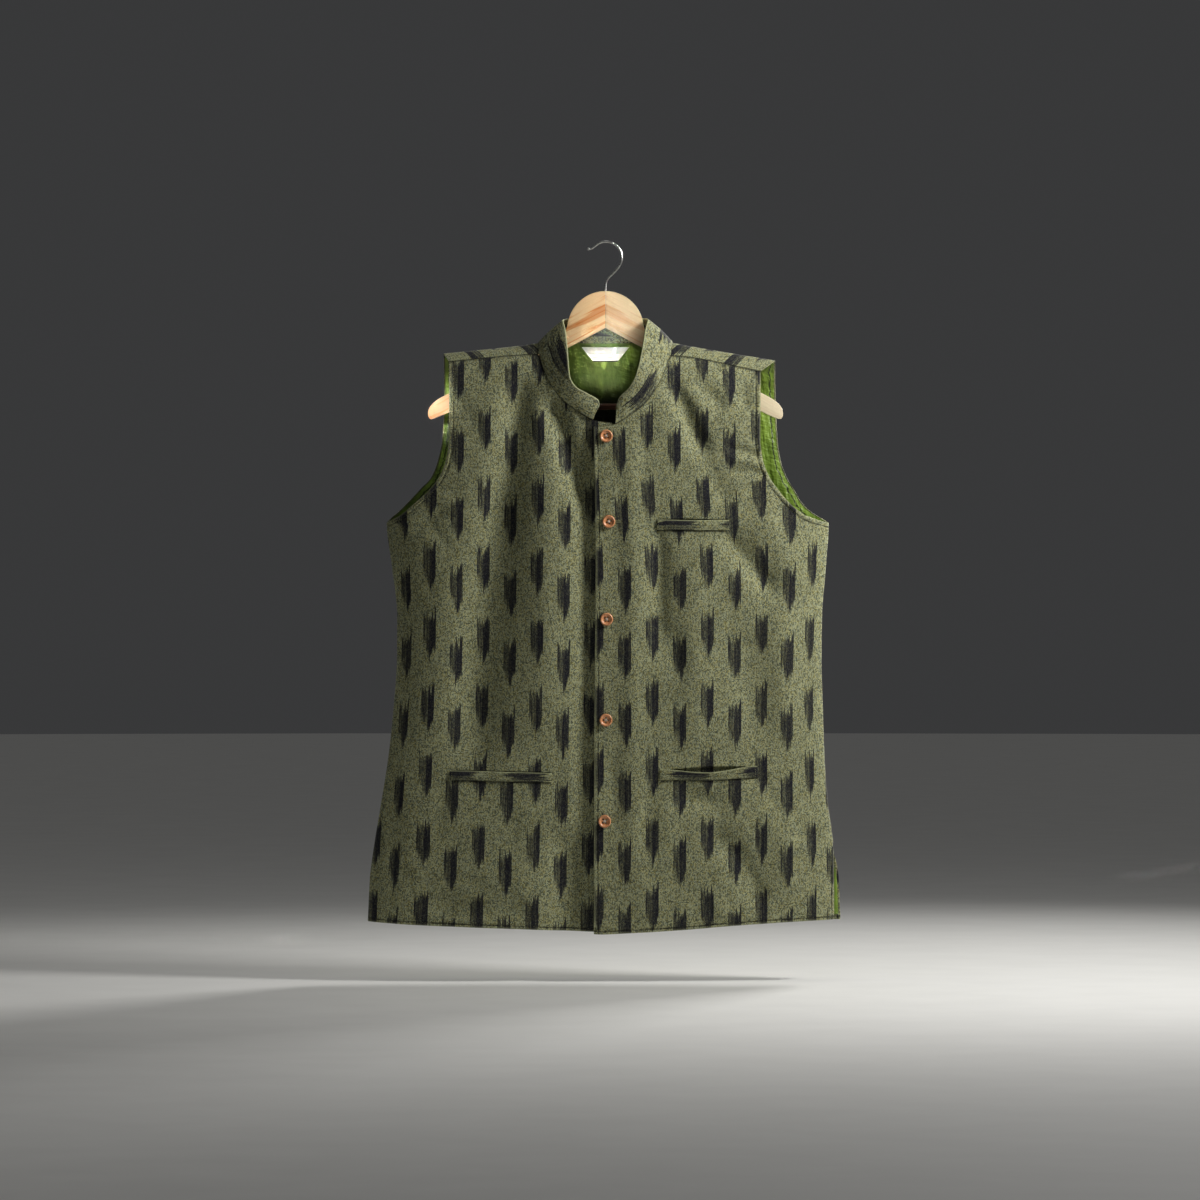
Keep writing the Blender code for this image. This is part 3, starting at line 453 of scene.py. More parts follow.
Section = namedtuple("Section", "height right_side left_side front back slit_out slit_back")
SECTIONS = (
    Section(-856, -298.8, 287.5, 41, 34, 7.0, 6.0),
    Section(-800, -296.0, 287.2, 41, 33, 5.0, 4.5),
    Section(SLIT_TOP, -291.5, 286.6, 41, 32, 0.0, 0.0),
    Section(-713, -283.0, 280.5, 41, 31, 0.0, 0.0),
    Section(-654, -273.6, 275.5, 41, 31, 0.0, 0.0),
    Section(-598, -267.3, 273.5, 42, 31, 0.0, 0.0),
    Section(-524, -262.1, 271.5, 43, 32, 0.0, 0.0),
    Section(-472, -261.8, 272.2, 44, 33, 0.0, 0.0),
    Section(-410, -268.3, 277.0, 45, 35, 0.0, 0.0),
    Section(UNDERARM_HEIGHT, -275.0, 280.5, 46, 37, 0.0, 0.0),
    Section(-115, -275.0, 280.5, 47, 38, 0.0, 0.0),
)
Armhole = namedtuple("Armhole", "height front_right front_left back_right back_left")
ARMHOLES = (
    Armhole(UNDERARM_HEIGHT, -275.0, 280.5, -275.0, 280.5),
    Armhole(-352, -269.0, 268.0, -273.0, 277.0),
    Armhole(-347, -259.0, 252.5, -268.0, 268.5),
    Armhole(-341, -251.0, 243.0, -261.0, 259.0),
    Armhole(-329, -237.0, 229.0, -249.0, 247.0),
    Armhole(-315, -221.5, 217.0, -236.0, 239.0),
    Armhole(-296, -207.0, 204.0, -219.0, 228.0),
    Armhole(-275, -199.5, 196.5, -211.0, 220.5),
    Armhole(-250, -195.8, 193.6, -206.0, 217.0),
    Armhole(-200, -195.8, 194.0, -203.5, 214.5),
    Armhole(-140, -196.0, 194.6, -203.5, 213.0),
)
Edge = namedtuple("Edge", "across height")
HEMS = {
    "right": (
        Edge(-300, -855.0), Edge(-245, -858.5), Edge(-193, -860.5), Edge(-120, -863.0),
        Edge(-19, -866.5), Edge(20, -867.0),
    ),
    "left": (
        Edge(-16, -869.5), Edge(-7, -870.0), Edge(30, -868.5), Edge(97, -864.5),
        Edge(159, -859.5), Edge(242, -854.5), Edge(290, -852.5),
    ),
    "back": (Edge(-300, -855.0), Edge(0, -860.0), Edge(300, -853.0)),
}
FRONT_TOPS = {
    "right": (
        Edge(-196.0, -153.0), Edge(-83.7, -144.3), Edge(-78.8, -160.0), Edge(-67.8, -184.0),
        Edge(-53.0, -202.4), Edge(-33.0, -217.0), Edge(-14.5, -227.3), Edge(12.0, -231.0),
    ),
    "left": (
        Edge(-14.8, -234.3), Edge(0.0, -234.0), Edge(12.1, -231.8), Edge(30.0, -221.0),
        Edge(47.0, -208.5), Edge(62.0, -189.0), Edge(75.5, -163.0), Edge(81.5, -146.3),
        Edge(194.6, -165.4),
    ),
}
SHOULDER_RIDGE = (
    Edge(-203.5, -142.3), Edge(-84.0, -129.0), Edge(-45.0, -119.0), Edge(0.0, -115.0),
    Edge(45.0, -119.0), Edge(84.0, -128.6), Edge(213.0, -151.0),
)
BACK_NECK = (
    Edge(-84.0, -129.0), Edge(-70.0, -128.8), Edge(-40.0, -129.2), Edge(0.0, -129.6),
    Edge(40.0, -129.2), Edge(70.0, -128.7), Edge(84.0, -128.6),
)
Placket = namedtuple("Placket", "height across")
PLACKET_EDGE = (
    Placket(-870, -14.6), Placket(-630, -14.2), Placket(-402, -12.4), Placket(-230, -14.8),
)

print("rows of the tables:", len(SECTIONS), "sections and", len(ARMHOLES), "armhole rows")

# %% Folds, the largest first
Fold = namedtuple("Fold", "x1 z1 x2 z2 half_width depth")
FOLDS = {
    "right": (
        Fold(-27, -240, -24, -560, 12, 6.5),
        Fold(-24, -560, -31, -850, 14, 6.5),
        Fold(-70, -196, -26, -320, 14, 8.0),
        Fold(-70, -290, -74, -610, 25, -4.0),
        Fold(-106, -190, -128, -360, 22, 9.5),
        Fold(-132, -340, -168, -650, 34, 12.0),
        Fold(-56, -740, -52, -900, 20, 8.0),
        Fold(-150, -790, -154, -900, 28, -3.0),
        Fold(-215, -836, -100, -844, 14, 4.0),
    ),
    "left": (
        Fold(84, -180, 124, -272, 13, 6.0),
        Fold(105, -166, 146, -211, 11, 5.0),
        Fold(166, -168, 180, -212, 13, 4.5),
        Fold(128, -285, 152, -330, 13, 3.5),
        Fold(148, -368, 214, -446, 17, 5.0),
        Fold(200, -346, 238, -430, 16, -3.0),
        Fold(66, -366, 68, -520, 13, 5.0),
        Fold(32, -260, 34, -800, 14, -2.6),
        Fold(112, -400, 114, -640, 18, -2.4),
        Fold(84, -486, 88, -545, 12, 3.5),
        Fold(176, -500, 184, -620, 20, 4.0),
        Fold(222, -440, 226, -620, 18, -4.0),
        Fold(84, -700, 142, -704, 13, 3.5),
        Fold(128, -744, 172, -774, 16, 4.5),
        Fold(168, -772, 196, -835, 16, 4.5),
        Fold(212, -720, 234, -820, 18, -4.0),
    ),
    "back": (
        Fold(-120, -420, -150, -850, 38, 5.0),
        Fold(70, -380, 90, -850, 42, 5.0),
        Fold(180, -470, 205, -850, 30, 4.0),
        Fold(-30, -520, -20, -850, 34, -4.0),
        Fold(-165, -210, -110, -330, 26, 3.5),
        Fold(170, -215, 120, -330, 26, 3.5),
    ),
}
print("folds:", {panel: len(rows) for panel, rows in FOLDS.items()})

# %% [markdown]
# Smaller creases belong to the cloth alone. They are set where cloth like this creases:
# drag lines from the neck and the armholes, sags beside the pockets, and short dents by
# the buttons. No two have the same length, width or depth.

# %% Creases of the cloth
CREASES = {
    "right": (
        Fold(-232, -330, -196, -392, 7, 1.0),
        Fold(-242, -361, -200, -341, 6, 1.8),
        Fold(-214, -300, -172, -336, 6, 0.9),
        Fold(-186, -196, -150, -262, 10, 1.2),
        Fold(-104, -176, -114, -250, 16, 4.0),
        Fold(-124, -260, -134, -420, 20, 2.6),
        Fold(-146, -430, -164, -600, 26, 2.6),
        Fold(-64, -204, -32, -330, 13, 4.0),
        Fold(-44, -756, -40, -890, 14, 3.6),
        Fold(-78, -752, -40, -724, 9, -2.4),
        Fold(-110, -776, -106, -826, 12, -2.2),
        Fold(-250, -776, -232, -794, 9, -1.8),
        Fold(-176, -800, -140, -822, 10, 1.8),
        Fold(-58, -330, -40, -420, 9, 1.0),
        Fold(-52, -470, -44, -560, 8, 0.9),
        Fold(-60, -640, -40, -760, 9, 1.1),
        Fold(-196, -668, -214, -742, 9, 1.3),
        Fold(-66, -672, -52, -716, 7, 1.0),
        Fold(-120, -700, -108, -838, 12, 1.2),
        Fold(-252, -520, -244, -640, 9, 1.1),
        Fold(-262, -690, -270, -840, 8, 1.2),
    ),
    "left": (
        Fold(236, -336, 206, -402, 8, 1.3),
        Fold(222, -318, 190, -352, 6, 1.0),
        Fold(204, -290, 176, -318, 5, 0.8),
        Fold(194, -269, 152, -262, 5, 3.0),
        Fold(192, -280, 154, -276, 4, -2.0),
        Fold(194, -291, 158, -292, 5, 3.0),
        Fold(60, -200, 44, -286, 9, 1.1),
        Fold(86, -184, 120, -262, 10, 2.2),
        Fold(154, -376, 206, -438, 11, 2.4),
        Fold(6, -650, 12, -735, 9, 1.6),
        Fold(94, -688, 130, -708, 12, 2.4),
        Fold(74, -716, 80, -750, 9, -1.8),
        Fold(136, -826, 148, -850, 8, -2.0),
        Fold(226, -752, 254, -768, 9, -2.0),
        Fold(132, -748, 170, -774, 12, 2.0),
        Fold(170, -776, 196, -832, 12, 2.0),
        Fold(67, -374, 68, -500, 9, 1.4),
        Fold(150, -190, 128, -268, 10, 0.9),
        Fold(24, -300, 16, -348, 6, 0.7),
        Fold(22, -420, 15, -468, 6, 0.8),
        Fold(64, -672, 46, -760, 9, 1.2),
        Fold(192, -668, 216, -722, 8, 1.5),
        Fold(140, -676, 148, -752, 12, 1.4),
        Fold(262, -440, 252, -560, 8, 1.0),
        Fold(268, -620, 262, -720, 8, 1.3),
        Fold(44, -780, 52, -860, 11, -1.1),
        Fold(150, -420, 158, -560, 12, 0.8),
        Fold(238, -748, 286, -744, 8, 2.4),
    ),
    "back": (
        Fold(-232, -330, -190, -398, 9, 1.2),
        Fold(236, -330, 196, -392, 9, 1.3),
        Fold(-210, -300, -170, -342, 6, 0.8),
        Fold(212, -296, 176, -346, 6, 0.9),
        Fold(-40, -160, -64, -240, 12, 1.0),
        Fold(34, -158, 60, -250, 13, 1.1),
        Fold(-84, -460, -78, -640, 12, 1.0),
        Fold(146, -560, 158, -700, 12, -1.0),
        Fold(20, -600, 26, -838, 14, 1.1),
        Fold(-214, -620, -226, -842, 12, 1.3),
        Fold(252, -520, 262, -800, 10, 1.2),
        Fold(-256, -480, -268, -660, 9, -0.9),
    ),
}
print("creases:", {panel: len(rows) for panel, rows in CREASES.items()})

# %% Reading the tables
FOLD_END = 0.18


def read(table, column, key):
    """Smooth values of one column at an array of keys, never past their neighbours."""
    keys = np.array([row[0] for row in table], float)
    values = np.array([getattr(row, column) for row in table], float)
    if keys[0] > keys[-1]:
        keys = keys[::-1]
        values = values[::-1]
    spans = np.diff(keys)
    rises = np.diff(values) / spans
    low = rises[:-1]
    high = rises[1:]
    level = low * high <= 0.0
    inner = np.where(level, 0.0, 2.0 * low * high / np.where(level, 1.0, low + high))
    slopes = np.concatenate((rises[:1], inner, rises[-1:]))
    key = np.clip(key, keys[0], keys[-1])
    at = np.clip(np.searchsorted(keys, key, side="right") - 1, 0, len(spans) - 1)
    t = (key - keys[at]) / spans[at]
    return (values[at] * (1 + 2 * t) * (1 - t) ** 2
            + slopes[at] * spans[at] * t * (1 - t) ** 2
            + values[at + 1] * t * t * (3 - 2 * t)
            + slopes[at + 1] * spans[at] * t * t * (t - 1))


def blend(start, end, share):
    """A share of the way from the start to the end."""
    return start + (end - start) * share


def soft_step(share):
    """0 below 0 and 1 above 1, with a soft climb between them."""
    share = np.clip(share, 0.0, 1.0)
    return share * share * (3.0 - 2.0 * share)


def bell(away, width):
    """1 on a line, and next to nothing two widths away from it."""
    return np.exp(-(away / width) ** 2)


def arch(share):
    """0 at both ends of a span and 1 in its middle."""
    return np.sin(np.pi * share)


def round_over(share):
    """A quarter of an ellipse: 0 at the shoulder's ridge, 1 where the cloth hangs."""
    share = np.clip(share, 0.0, 1.0)
    return np.sqrt(1.0 - (1.0 - share) ** 2)


def pushed(folds, x, z):
    """How far folds push the cloth in at each place, fading out at their ends."""
    push = np.zeros(np.broadcast(x, z).shape)
    for fold in folds:
        run = np.array((fold.x2 - fold.x1, fold.z2 - fold.z1), float)
        length = np.hypot(*run)
        along = ((x - fold.x1) * run[0] + (z - fold.z1) * run[1]) / length ** 2
        across = ((x - fold.x1) * run[1] - (z - fold.z1) * run[0]) / length
        ends = soft_step((along + FOLD_END) / (2 * FOLD_END))
        ends = ends * soft_step((1.0 + FOLD_END - along) / (2 * FOLD_END))
        push += fold.depth * ends * bell(across, fold.half_width)
    return push


def side_edge(panel, side, z):
    """Where a panel ends at the side: the seam below the underarm, the armhole above."""
    seam = read(SECTIONS, side + "_side", z)
    if panel == "back" and side == "left":
        seam = seam + read(SECTIONS, "slit_out", z)
    return np.where(z > UNDERARM_HEIGHT, read(ARMHOLES, panel + "_" + side, z), seam)


def middle_edge(side, z):
    """The wearer's left front laps over the right one."""
    return read(PLACKET_EDGE, "across", z) if side == "left" else UNDERLAP_EDGE + 0.0 * z


def stand_off(panel, x, z, drop):
    """How far the cloth stands off the hanger's plane: a flat oval that closes to the
    side seams and rounds over the shoulders."""
    width = np.where(x < 0, -read(SECTIONS, "right_side", z), read(SECTIONS, "left_side", z))
    across = np.minimum(1.0, np.abs(x) / width)
    share = (1.0 - across ** SIDE_ROUNDNESS) ** (1.0 / SIDE_ROUNDNESS)
    ridge = read(SHOULDER_RIDGE, "height", x)
    return read(SECTIONS, panel, z) * share * round_over((ridge - z) / drop)


# %% [markdown]
# ## Sewn edges
# Along a topstitched edge the two layers swell between the fold and the stitches, the
# thread pulls a shallow groove, and the cloth puckers beside it. To make this the cloth has
# to know how far each point lies from the edge. Nearest points on a line are found with
# a k-d tree, which stays quick where measuring every pair would not.

# %% Lines on the cloth


class Line:
    """A line on the cloth seen from the front, and how far places lie from it."""

    def __init__(self, x, z, step=0.8):
        x = np.asarray(x, float)
        z = np.asarray(z, float)
        run = np.concatenate(([0.0], np.cumsum(np.hypot(np.diff(x), np.diff(z)))))
        self.along = np.linspace(0.0, run[-1], max(2, int(run[-1] / step)))
        self.x = np.interp(self.along, run, x)
        self.z = np.interp(self.along, run, z)
        self.tree = KDTree(len(self.along))
        for index, (a, b) in enumerate(zip(self.x, self.z)):
            self.tree.insert((a, b, 0.0), index)
        self.tree.balance()

    def measure(self, x, z):
        """The distance from the line and the place along it."""
        found = [self.tree.find((a, b, 0.0)) for a, b in zip(np.ravel(x), np.ravel(z))]
        away = np.array([item[2] for item in found]).reshape(np.shape(x))
        along = self.along[[item[1] for item in found]].reshape(np.shape(x))
        return away, along

    def beside(self, offset):
        """The line moved to its left by an offset, seen along its run."""
        run_x = np.gradient(self.x, self.along)
        run_z = np.gradient(self.z, self.along)
        return Line(self.x - run_z * offset, self.z + run_x * offset)

    def dots(self, pitch, start=0.0, end=0.0):
        """Evenly spaced places along the line."""
        at = np.arange(start, self.along[-1] - end, pitch)
        return np.interp(at, self.along, self.x), np.interp(at, self.along, self.z)


EDGE_STITCH = 5.5
HEM_STITCH = 3.6
PLACKET_STITCH = 5.0
SLIT_STITCH = 3.5


def armhole_line(panel, side):
    """The edge of an armhole, from the underarm up to the shoulder's seam."""
    z = np.linspace(UNDERARM_HEIGHT + 0.01, -156.0 if panel == "front" else -146.0, 260)
    return Line(side_edge(panel, side, z), z)


def hem_line(panel):
    """The fold of a hem, a little short of the seams at its ends."""
    low = HEMS[panel][0].across + (4.0 if panel != "left" else 1.5)
    high = HEMS[panel][-1].across - (4.0 if panel != "right" else 10.0)
    x = np.linspace(low, high, 200)
    return Line(x, read(HEMS[panel], "height", x))


def placket_line():
    """The edge of the wearer's left front, where it laps over the right one."""
    z = np.linspace(-868.5, -236.0, 300)
    return Line(read(PLACKET_EDGE, "across", z), z)


def slit_line():
    """The front edge of the slit at the wearer's left."""
    z = np.linspace(-862.0, -766.0, 100)
    return Line(side_edge("front", "left", z), z)


PLACKET = placket_line()
EDGES = {
    "right": ((armhole_line("front", "right"), EDGE_STITCH), (hem_line("right"), HEM_STITCH)),
    "left": ((armhole_line("front", "left"), EDGE_STITCH), (hem_line("left"), HEM_STITCH),
             (PLACKET, PLACKET_STITCH), (slit_line(), SLIT_STITCH)),
    "back": ((armhole_line("back", "right"), EDGE_STITCH),
             (armhole_line("back", "left"), EDGE_STITCH), (hem_line("back"), HEM_STITCH)),
}
sewn_lengths = {panel: [round(line.along[-1]) for line, _ in rows] for panel, rows in EDGES.items()}
print("sewn edges in millimetres:", sewn_lengths)


# %% What stitches and slack do to the cloth
GROOVE_DEPTH = 0.55
GROOVE_WIDTH = 0.9
MARGIN_SWELL = 0.5
PUCKER_DEPTH = 0.40
PUCKER_REACH = 5.0
Swell = namedtuple("Swell", "across up seed height")
FRONT_SWELLS = (Swell(46.0, 70.0, 3.0, 1.1), Swell(15.0, 26.0, 8.0, 0.34))
BACK_SWELLS = (Swell(46.0, 70.0, 23.0, 1.1), Swell(15.0, 26.0, 28.0, 0.34))


def sewn(line, stitch_at, x, z):
    """What a row of stitches does to the cloth near an edge, as a push in."""
    away, along = line.measure(x, z)
    groove = GROOVE_DEPTH * bell(away - stitch_at, GROOVE_WIDTH)
    margin = MARGIN_SWELL * arch(np.clip(away / stitch_at, 0.0, 1.0))
    wave = np.sin(along / 1.7 + 1.6 * np.sin(along / 11.0)) * np.sin(along / 23.0 + 1.0)
    pucker = PUCKER_DEPTH * wave * np.exp(-np.abs(away - stitch_at) / PUCKER_REACH)
    return groove - margin + pucker


def swelling(swell, x, z):
    """Noise either side of 0, its swellings so many millimetres across, up and high."""
    pairs = zip(np.ravel(x) / swell.across, np.ravel(z) / swell.up)
    values = [noise.noise(Vector((a, b, swell.seed))) for a, b in pairs]
    return np.array(values).reshape(np.shape(x)) * swell.height


# %% [markdown]
# ## Where the fronts lie
# One function gives the depth of a front at any place across and up. The sheet itself, its
# stitches, the welts and the buttonholes all ask it, so that everything sewn on lies
# exactly on the cloth. The mouth of the open hip pocket is a hollow in the same function.

# %% The fronts' depth
Welt = namedtuple("Welt", "name panel x1 x2 top1 top2 low1 low2 droop gape")
WELTS = (
    Welt("chest_welt", "left", 64.5, 154.5, -351.5, -352.0, -364.4, -364.8, 0.6, 0.0),
    Welt("hip_welt_right", "right", -195.0, -67.0, -665.4, -668.4, -677.6, -679.8, 0.0, 0.0),
    Welt("hip_welt_left", "left", 68.0, 190.0, -664.0, -659.5, -677.2, -673.8, 5.5, 3.2),
)
WELT_SAG = 1.5
PIT_DEPTH = 3.2
FLAT_LAP = CLOTH_WALL + 0.45


def welt_top(welt, share):
    """The height of a welt's upper edge, which droops where the pocket gapes."""
    return blend(welt.top1, welt.top2, share) - welt.droop * arch(share) ** 2


def welt_foot(welt, share):
    """The height of a welt's lower edge, which sags a little where the pocket gapes."""
    sag = WELT_SAG * arch(np.clip(share, 0.0, 1.0)) ** 2 * (welt.droop > 1.0)
    return blend(welt.low1, welt.low2, share) - sag


def mouth(side, x, z):
    """1 in the mouths of the pockets of a front, above their welts, and 0 elsewhere."""
    depth = np.zeros(np.shape(x))
    for welt in WELTS:
        if welt.panel == side:
            share = (x - welt.x1) / (welt.x2 - welt.x1)
            gap = arch(np.clip(share, 0.0, 1.0)) ** 0.6
            open_by = (0.9 + 0.55 * welt.droop) * gap
            upper = blend(welt.top1, welt.top2, share) + open_by - 0.45 * welt.droop
            lower = welt_top(welt, np.clip(share, 0.0, 1.0)) - 3.0
            inside = soft_step((upper - z) / 0.9) * soft_step((z - lower) / 1.5)
            depth += inside * soft_step(share * 22.0) * soft_step((1.0 - share) * 22.0)
    return depth


def place_across(side, x, z):
    """Where a point lies across a front: 0 at its middle edge and 1 at its side."""
    middle = middle_edge(side, z)
    return (x - middle) / (side_edge("front", side, z) - middle)


def underlap(side, x):
    """How far in the right front lies towards the middle, under the left one."""
    return FLAT_LAP * soft_step((x + 110.0) / 80.0) if side == "right" else 0.0


def front_form(side, x, z):
    """The depth, in millimetres, of a front's outer face with its largest folds alone."""
    place = place_across(side, x, z)
    hold = soft_step((1.0 - place) / 0.12) * soft_step(np.abs(x) / 8.0)
    fade = soft_step((-150.0 - z) / 60.0)
    y = -stand_off("front", x, z, SHOULDER_DROP_FRONT)
    return y + pushed(FOLDS[side], x, z) * hold * fade + underlap(side, x)


def creased_form(side, x, z):
    """A front's form with its creases, for the lining that has to stay behind them."""
    return front_form(side, x, z) + pushed(CREASES[side], x, z)


def front_depth(side, x, z):
    """The depth of a front's outer face with all its creases, stitched edges and pockets."""
    place = place_across(side, x, z)
    y = front_form(side, x, z)
    y = y + pushed(CREASES[side], x, z) * soft_step((1.0 - place) / 0.06)
    calm = soft_step((1.0 - place) / 0.1) * (0.25 + 0.75 * soft_step((-170.0 - z) / 90.0))
    for swell in FRONT_SWELLS:
        y = y + swelling(swell, x, z) * calm
    for line, stitch_at in EDGES[side]:
        y = y + sewn(line, stitch_at, x, z)
    return y + mouth(side, x, z) * PIT_DEPTH


CHEST = (np.array([100.0]), np.array([-400.0]))
print(f"the left chest stands off {-front_depth('left', *CHEST)[0]:.1f} mm")


# %% [markdown]
# ## Making a sheet
# A sheet starts as Blender's flat grid. Its points then take their places from arrays, and
# a Solidify modifier grows the wall, to the inside for the panels and to the outside for
# the welts. A fine Bevel rounds the cut edges. The cloth map is written to the same mesh, so
# the pattern stays on the thread when the form folds, which no projection could do.

# %% Sheets from arrays
COARSE = 0.891
SIDE_ANGLES = np.radians(np.linspace(30.0, 0.0, 17))
TURN = np.cos(SIDE_ANGLES) ** (2.0 / SIDE_ROUNDNESS)


def add_piece(name, mesh, material):
    """Puts a mesh in the scene, on the jacket's only body."""
    piece = in_scene(name, mesh)
    mesh.materials.clear()
    mesh.materials.append(material)
    mesh.shade_smooth()
    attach(piece, "root")
    return piece


def mesh_of(name, bm):
    """Turns a finished bmesh into a mesh of its own."""
    mesh = bpy.data.meshes.new(name)
    bm.to_mesh(mesh)
    bm.free()
    return mesh


def sheet_mesh(name, points, u, v, paint=None, spare=None):
    """A grid mesh with a row of points for each row of the arrays, and its cloth map."""
    rows = points.shape[0] - 1
    columns = points.shape[1] - 1
    bm = bmesh.new()
    bmesh.ops.create_grid(bm, x_segments=columns, y_segments=rows, size=0.5)
    mesh = mesh_of(name, bm)
    flat = np.zeros(len(mesh.vertices) * 3, np.float32)
    mesh.vertices.foreach_get("co", flat)
    flat = flat.reshape(-1, 3)
    column = np.rint((flat[:, 0] + 0.5) * columns).astype(int)
    row = np.rint((flat[:, 1] + 0.5) * rows).astype(int)
    mesh.vertices.foreach_set("co", (points[row, column] * MM).astype(np.float32).ravel())
    corners = np.zeros(len(mesh.loops), np.int32)
    mesh.loops.foreach_get("vertex_index", corners)
    cloth = np.stack((u[row, column], v[row, column]), axis=1)[corners]
    mesh.uv_layers.new(name="cloth").data.foreach_set("uv", cloth.astype(np.float32).ravel())
    for key, values in (paint or {}).items():
        layer = mesh.attributes.new(key, "FLOAT", "POINT")
        layer.data.foreach_set("value", values[row, column].astype(np.float32))
    if spare is not None:
        bm = bmesh.new()
        bm.from_mesh(mesh)
        bm.verts.ensure_lookup_table()
        left_off = [bm.verts[index] for index in np.nonzero(spare[row, column])[0]]
        bmesh.ops.delete(bm, geom=left_off, context="VERTS")
        bm.to_mesh(mesh)
        bm.free()
    mesh.update()
    return mesh


# %% Walls and rounded edges


def round_edges(piece, width, segments):
    """Rounds the sharp edges of a piece."""
    edges = piece.modifiers.new("Edges", "BEVEL")
    edges.width = width * MM
    edges.segments = segments
    edges.limit_method = "ANGLE"
    edges.angle_limit = math.radians(60)


def add_wall(piece, wall, offset=-1.0, rounding=0.4):
    """Thickens a sheet and rounds its cut edges."""
    thick = piece.modifiers.new("Wall", "SOLIDIFY")
    thick.thickness = wall * MM
    thick.offset = offset
    thick.use_even_offset = True
    round_edges(piece, rounding, 2)


# %% Measures of a grid


def normals_of(points):
    """Unit normals of a grid of points."""
    across = np.gradient(points, axis=1)
    up = np.gradient(points, axis=0)
    normal = np.cross(across, up)
    return normal / np.maximum(np.linalg.norm(normal, axis=2, keepdims=True), 1e-9)


def flat_area(points):
    """The area of a grid's cells in square metres."""
    across = points[:-1, 1:] - points[:-1, :-1]
    up = points[1:, :-1] - points[:-1, :-1]
    return np.linalg.norm(np.cross(across, up), axis=2).sum() * MM * MM


def declare_sheet(piece, width, length, points):
    """States the cut of a sheet, in millimetres, and its measured area."""
    area = flat_area(points)
    print(f"{piece.name}: cut from {width:.0f} x {length:.0f} mm, area {area:.3f} m2")


# %% [markdown]
# ## The two fronts
# Each front is one cut of cloth from the placket to the side seam and from the hem to the
# shoulder. Its columns crowd together where the cloth turns to the side seam, and its
# rows where the pocket's mouth needs fine cells. The warp hangs nearly straight on one
# front, and leans a little outward towards the other's hem.

# %% Fronts
FINE_AT_POCKETS = np.linspace(0.355, 0.425, 40)
FINE_AT_HEM = np.linspace(0.0, 0.02, 6)
LOWER_SHARES = np.unique(np.concatenate((np.linspace(0.0, 1.0, 118), FINE_AT_POCKETS,
                                         FINE_AT_HEM)))
UPPER_SHARES = np.linspace(0.0, 1.0, 72)[1:] ** 1.25
FRONT_PLACES = np.concatenate((np.linspace(0.0, COARSE, 76)[:-1], TURN))
SEAM_STEP = 0.15
FAR_OFF = 60.0
NECK_LEVEL = np.array(-200.0)
SHOULDER_LEVEL = np.array(-150.0)
HEM_LEVEL = np.array(-855.0)
PLACKET_FOOT = np.array(-860.0)


def front_top_x(side, place):
    """How far across the upper edge of a front is, from its neck to its armhole."""
    return blend(middle_edge(side, NECK_LEVEL), side_edge("front", side, SHOULDER_LEVEL), place)


def front_points(side, depth=front_depth):
    """A grid of points of a front, a row for each height, from its middle to its side."""
    top_x = front_top_x(side, FRONT_PLACES)
    hem_x = blend(middle_edge(side, PLACKET_FOOT), side_edge("front", side, HEM_LEVEL),
                  FRONT_PLACES)
    hem = read(HEMS[side], "height", hem_x)
    top = read(FRONT_TOPS[side], "height", top_x)
    lower = blend(hem, UNDERARM_HEIGHT, LOWER_SHARES[:, None])
    upper = blend(UNDERARM_HEIGHT, top, UPPER_SHARES[:, None])
    z = np.concatenate((lower, upper))
    x = blend(middle_edge(side, z), side_edge("front", side, z), FRONT_PLACES)
    y = depth(side, x, z)
    below = z[:, -1] <= UNDERARM_HEIGHT
    y[below, -1] = -SEAM_STEP
    points = np.stack((x, y, z), axis=2)
    return points if side == "left" else points[:, ::-1]


# %% The cloth map of the fronts
Mark = namedtuple("Mark", "x z")
MARK_AT = {"right": Mark(-17.0, -441.0), "left": Mark(24.0, -437.0)}
TURN_GAIN = 11.0
HUNG_SCALE = {"right": 87.2, "left": 85.7}


def turn_length(x, place):
    """What the cloth gains over its width as it turns to the side seam."""
    return TURN_GAIN * soft_step((place - 0.86) / 0.14) * np.sign(x)


def front_map(side, x, z):
    """The cloth map of a front, across and along the warp, counted from one mark's place."""
    place = np.abs(x / side_edge("front", side, z)) * (z < UNDERARM_HEIGHT)
    mark = MARK_AT[side]
    if side == "left":
        outer = soft_step((x - 175.0) / 60.0) * soft_step((-400.0 - z) / 160.0)
        drift = 7.0 * soft_step((z + 440.0) / 180.0) * soft_step((250.0 - x) / 90.0)
        u = PITCH / 2 + (x + drift + 4.0 * outer - mark.x) + turn_length(x, place)
        v = REPEAT / 2 + (z - mark.z + 4.5 * outer) * REPEAT / HUNG_SCALE[side]
        return u, v
    lean = (0.01 + 0.023 * np.abs(x) / 260.0) * np.maximum(0.0, -500.0 - z)
    lean = lean + 1.6 * soft_step((-260.0 - z) / 160.0) + 3.5 * soft_step((-225.0 - x) / 30.0)
    u = -PITCH / 2 + (x + lean - mark.x) * 1.024 + turn_length(x, place)
    v = REPEAT / 2 + (z - mark.z + 0.05 * (x + 145.0)) * REPEAT / HUNG_SCALE[side]
    return u, v


# %% Paint, and the fronts themselves
HIGHLIGHT_AND_WEAR_WIDTH = 1.1
EDGE_HIGHLIGHT_AND_WEAR = 0.55


def nearer(first, second):
    """The smaller of two signed distances, whichever side it lies on."""
    return np.where(np.abs(second) < np.abs(first), second, first)


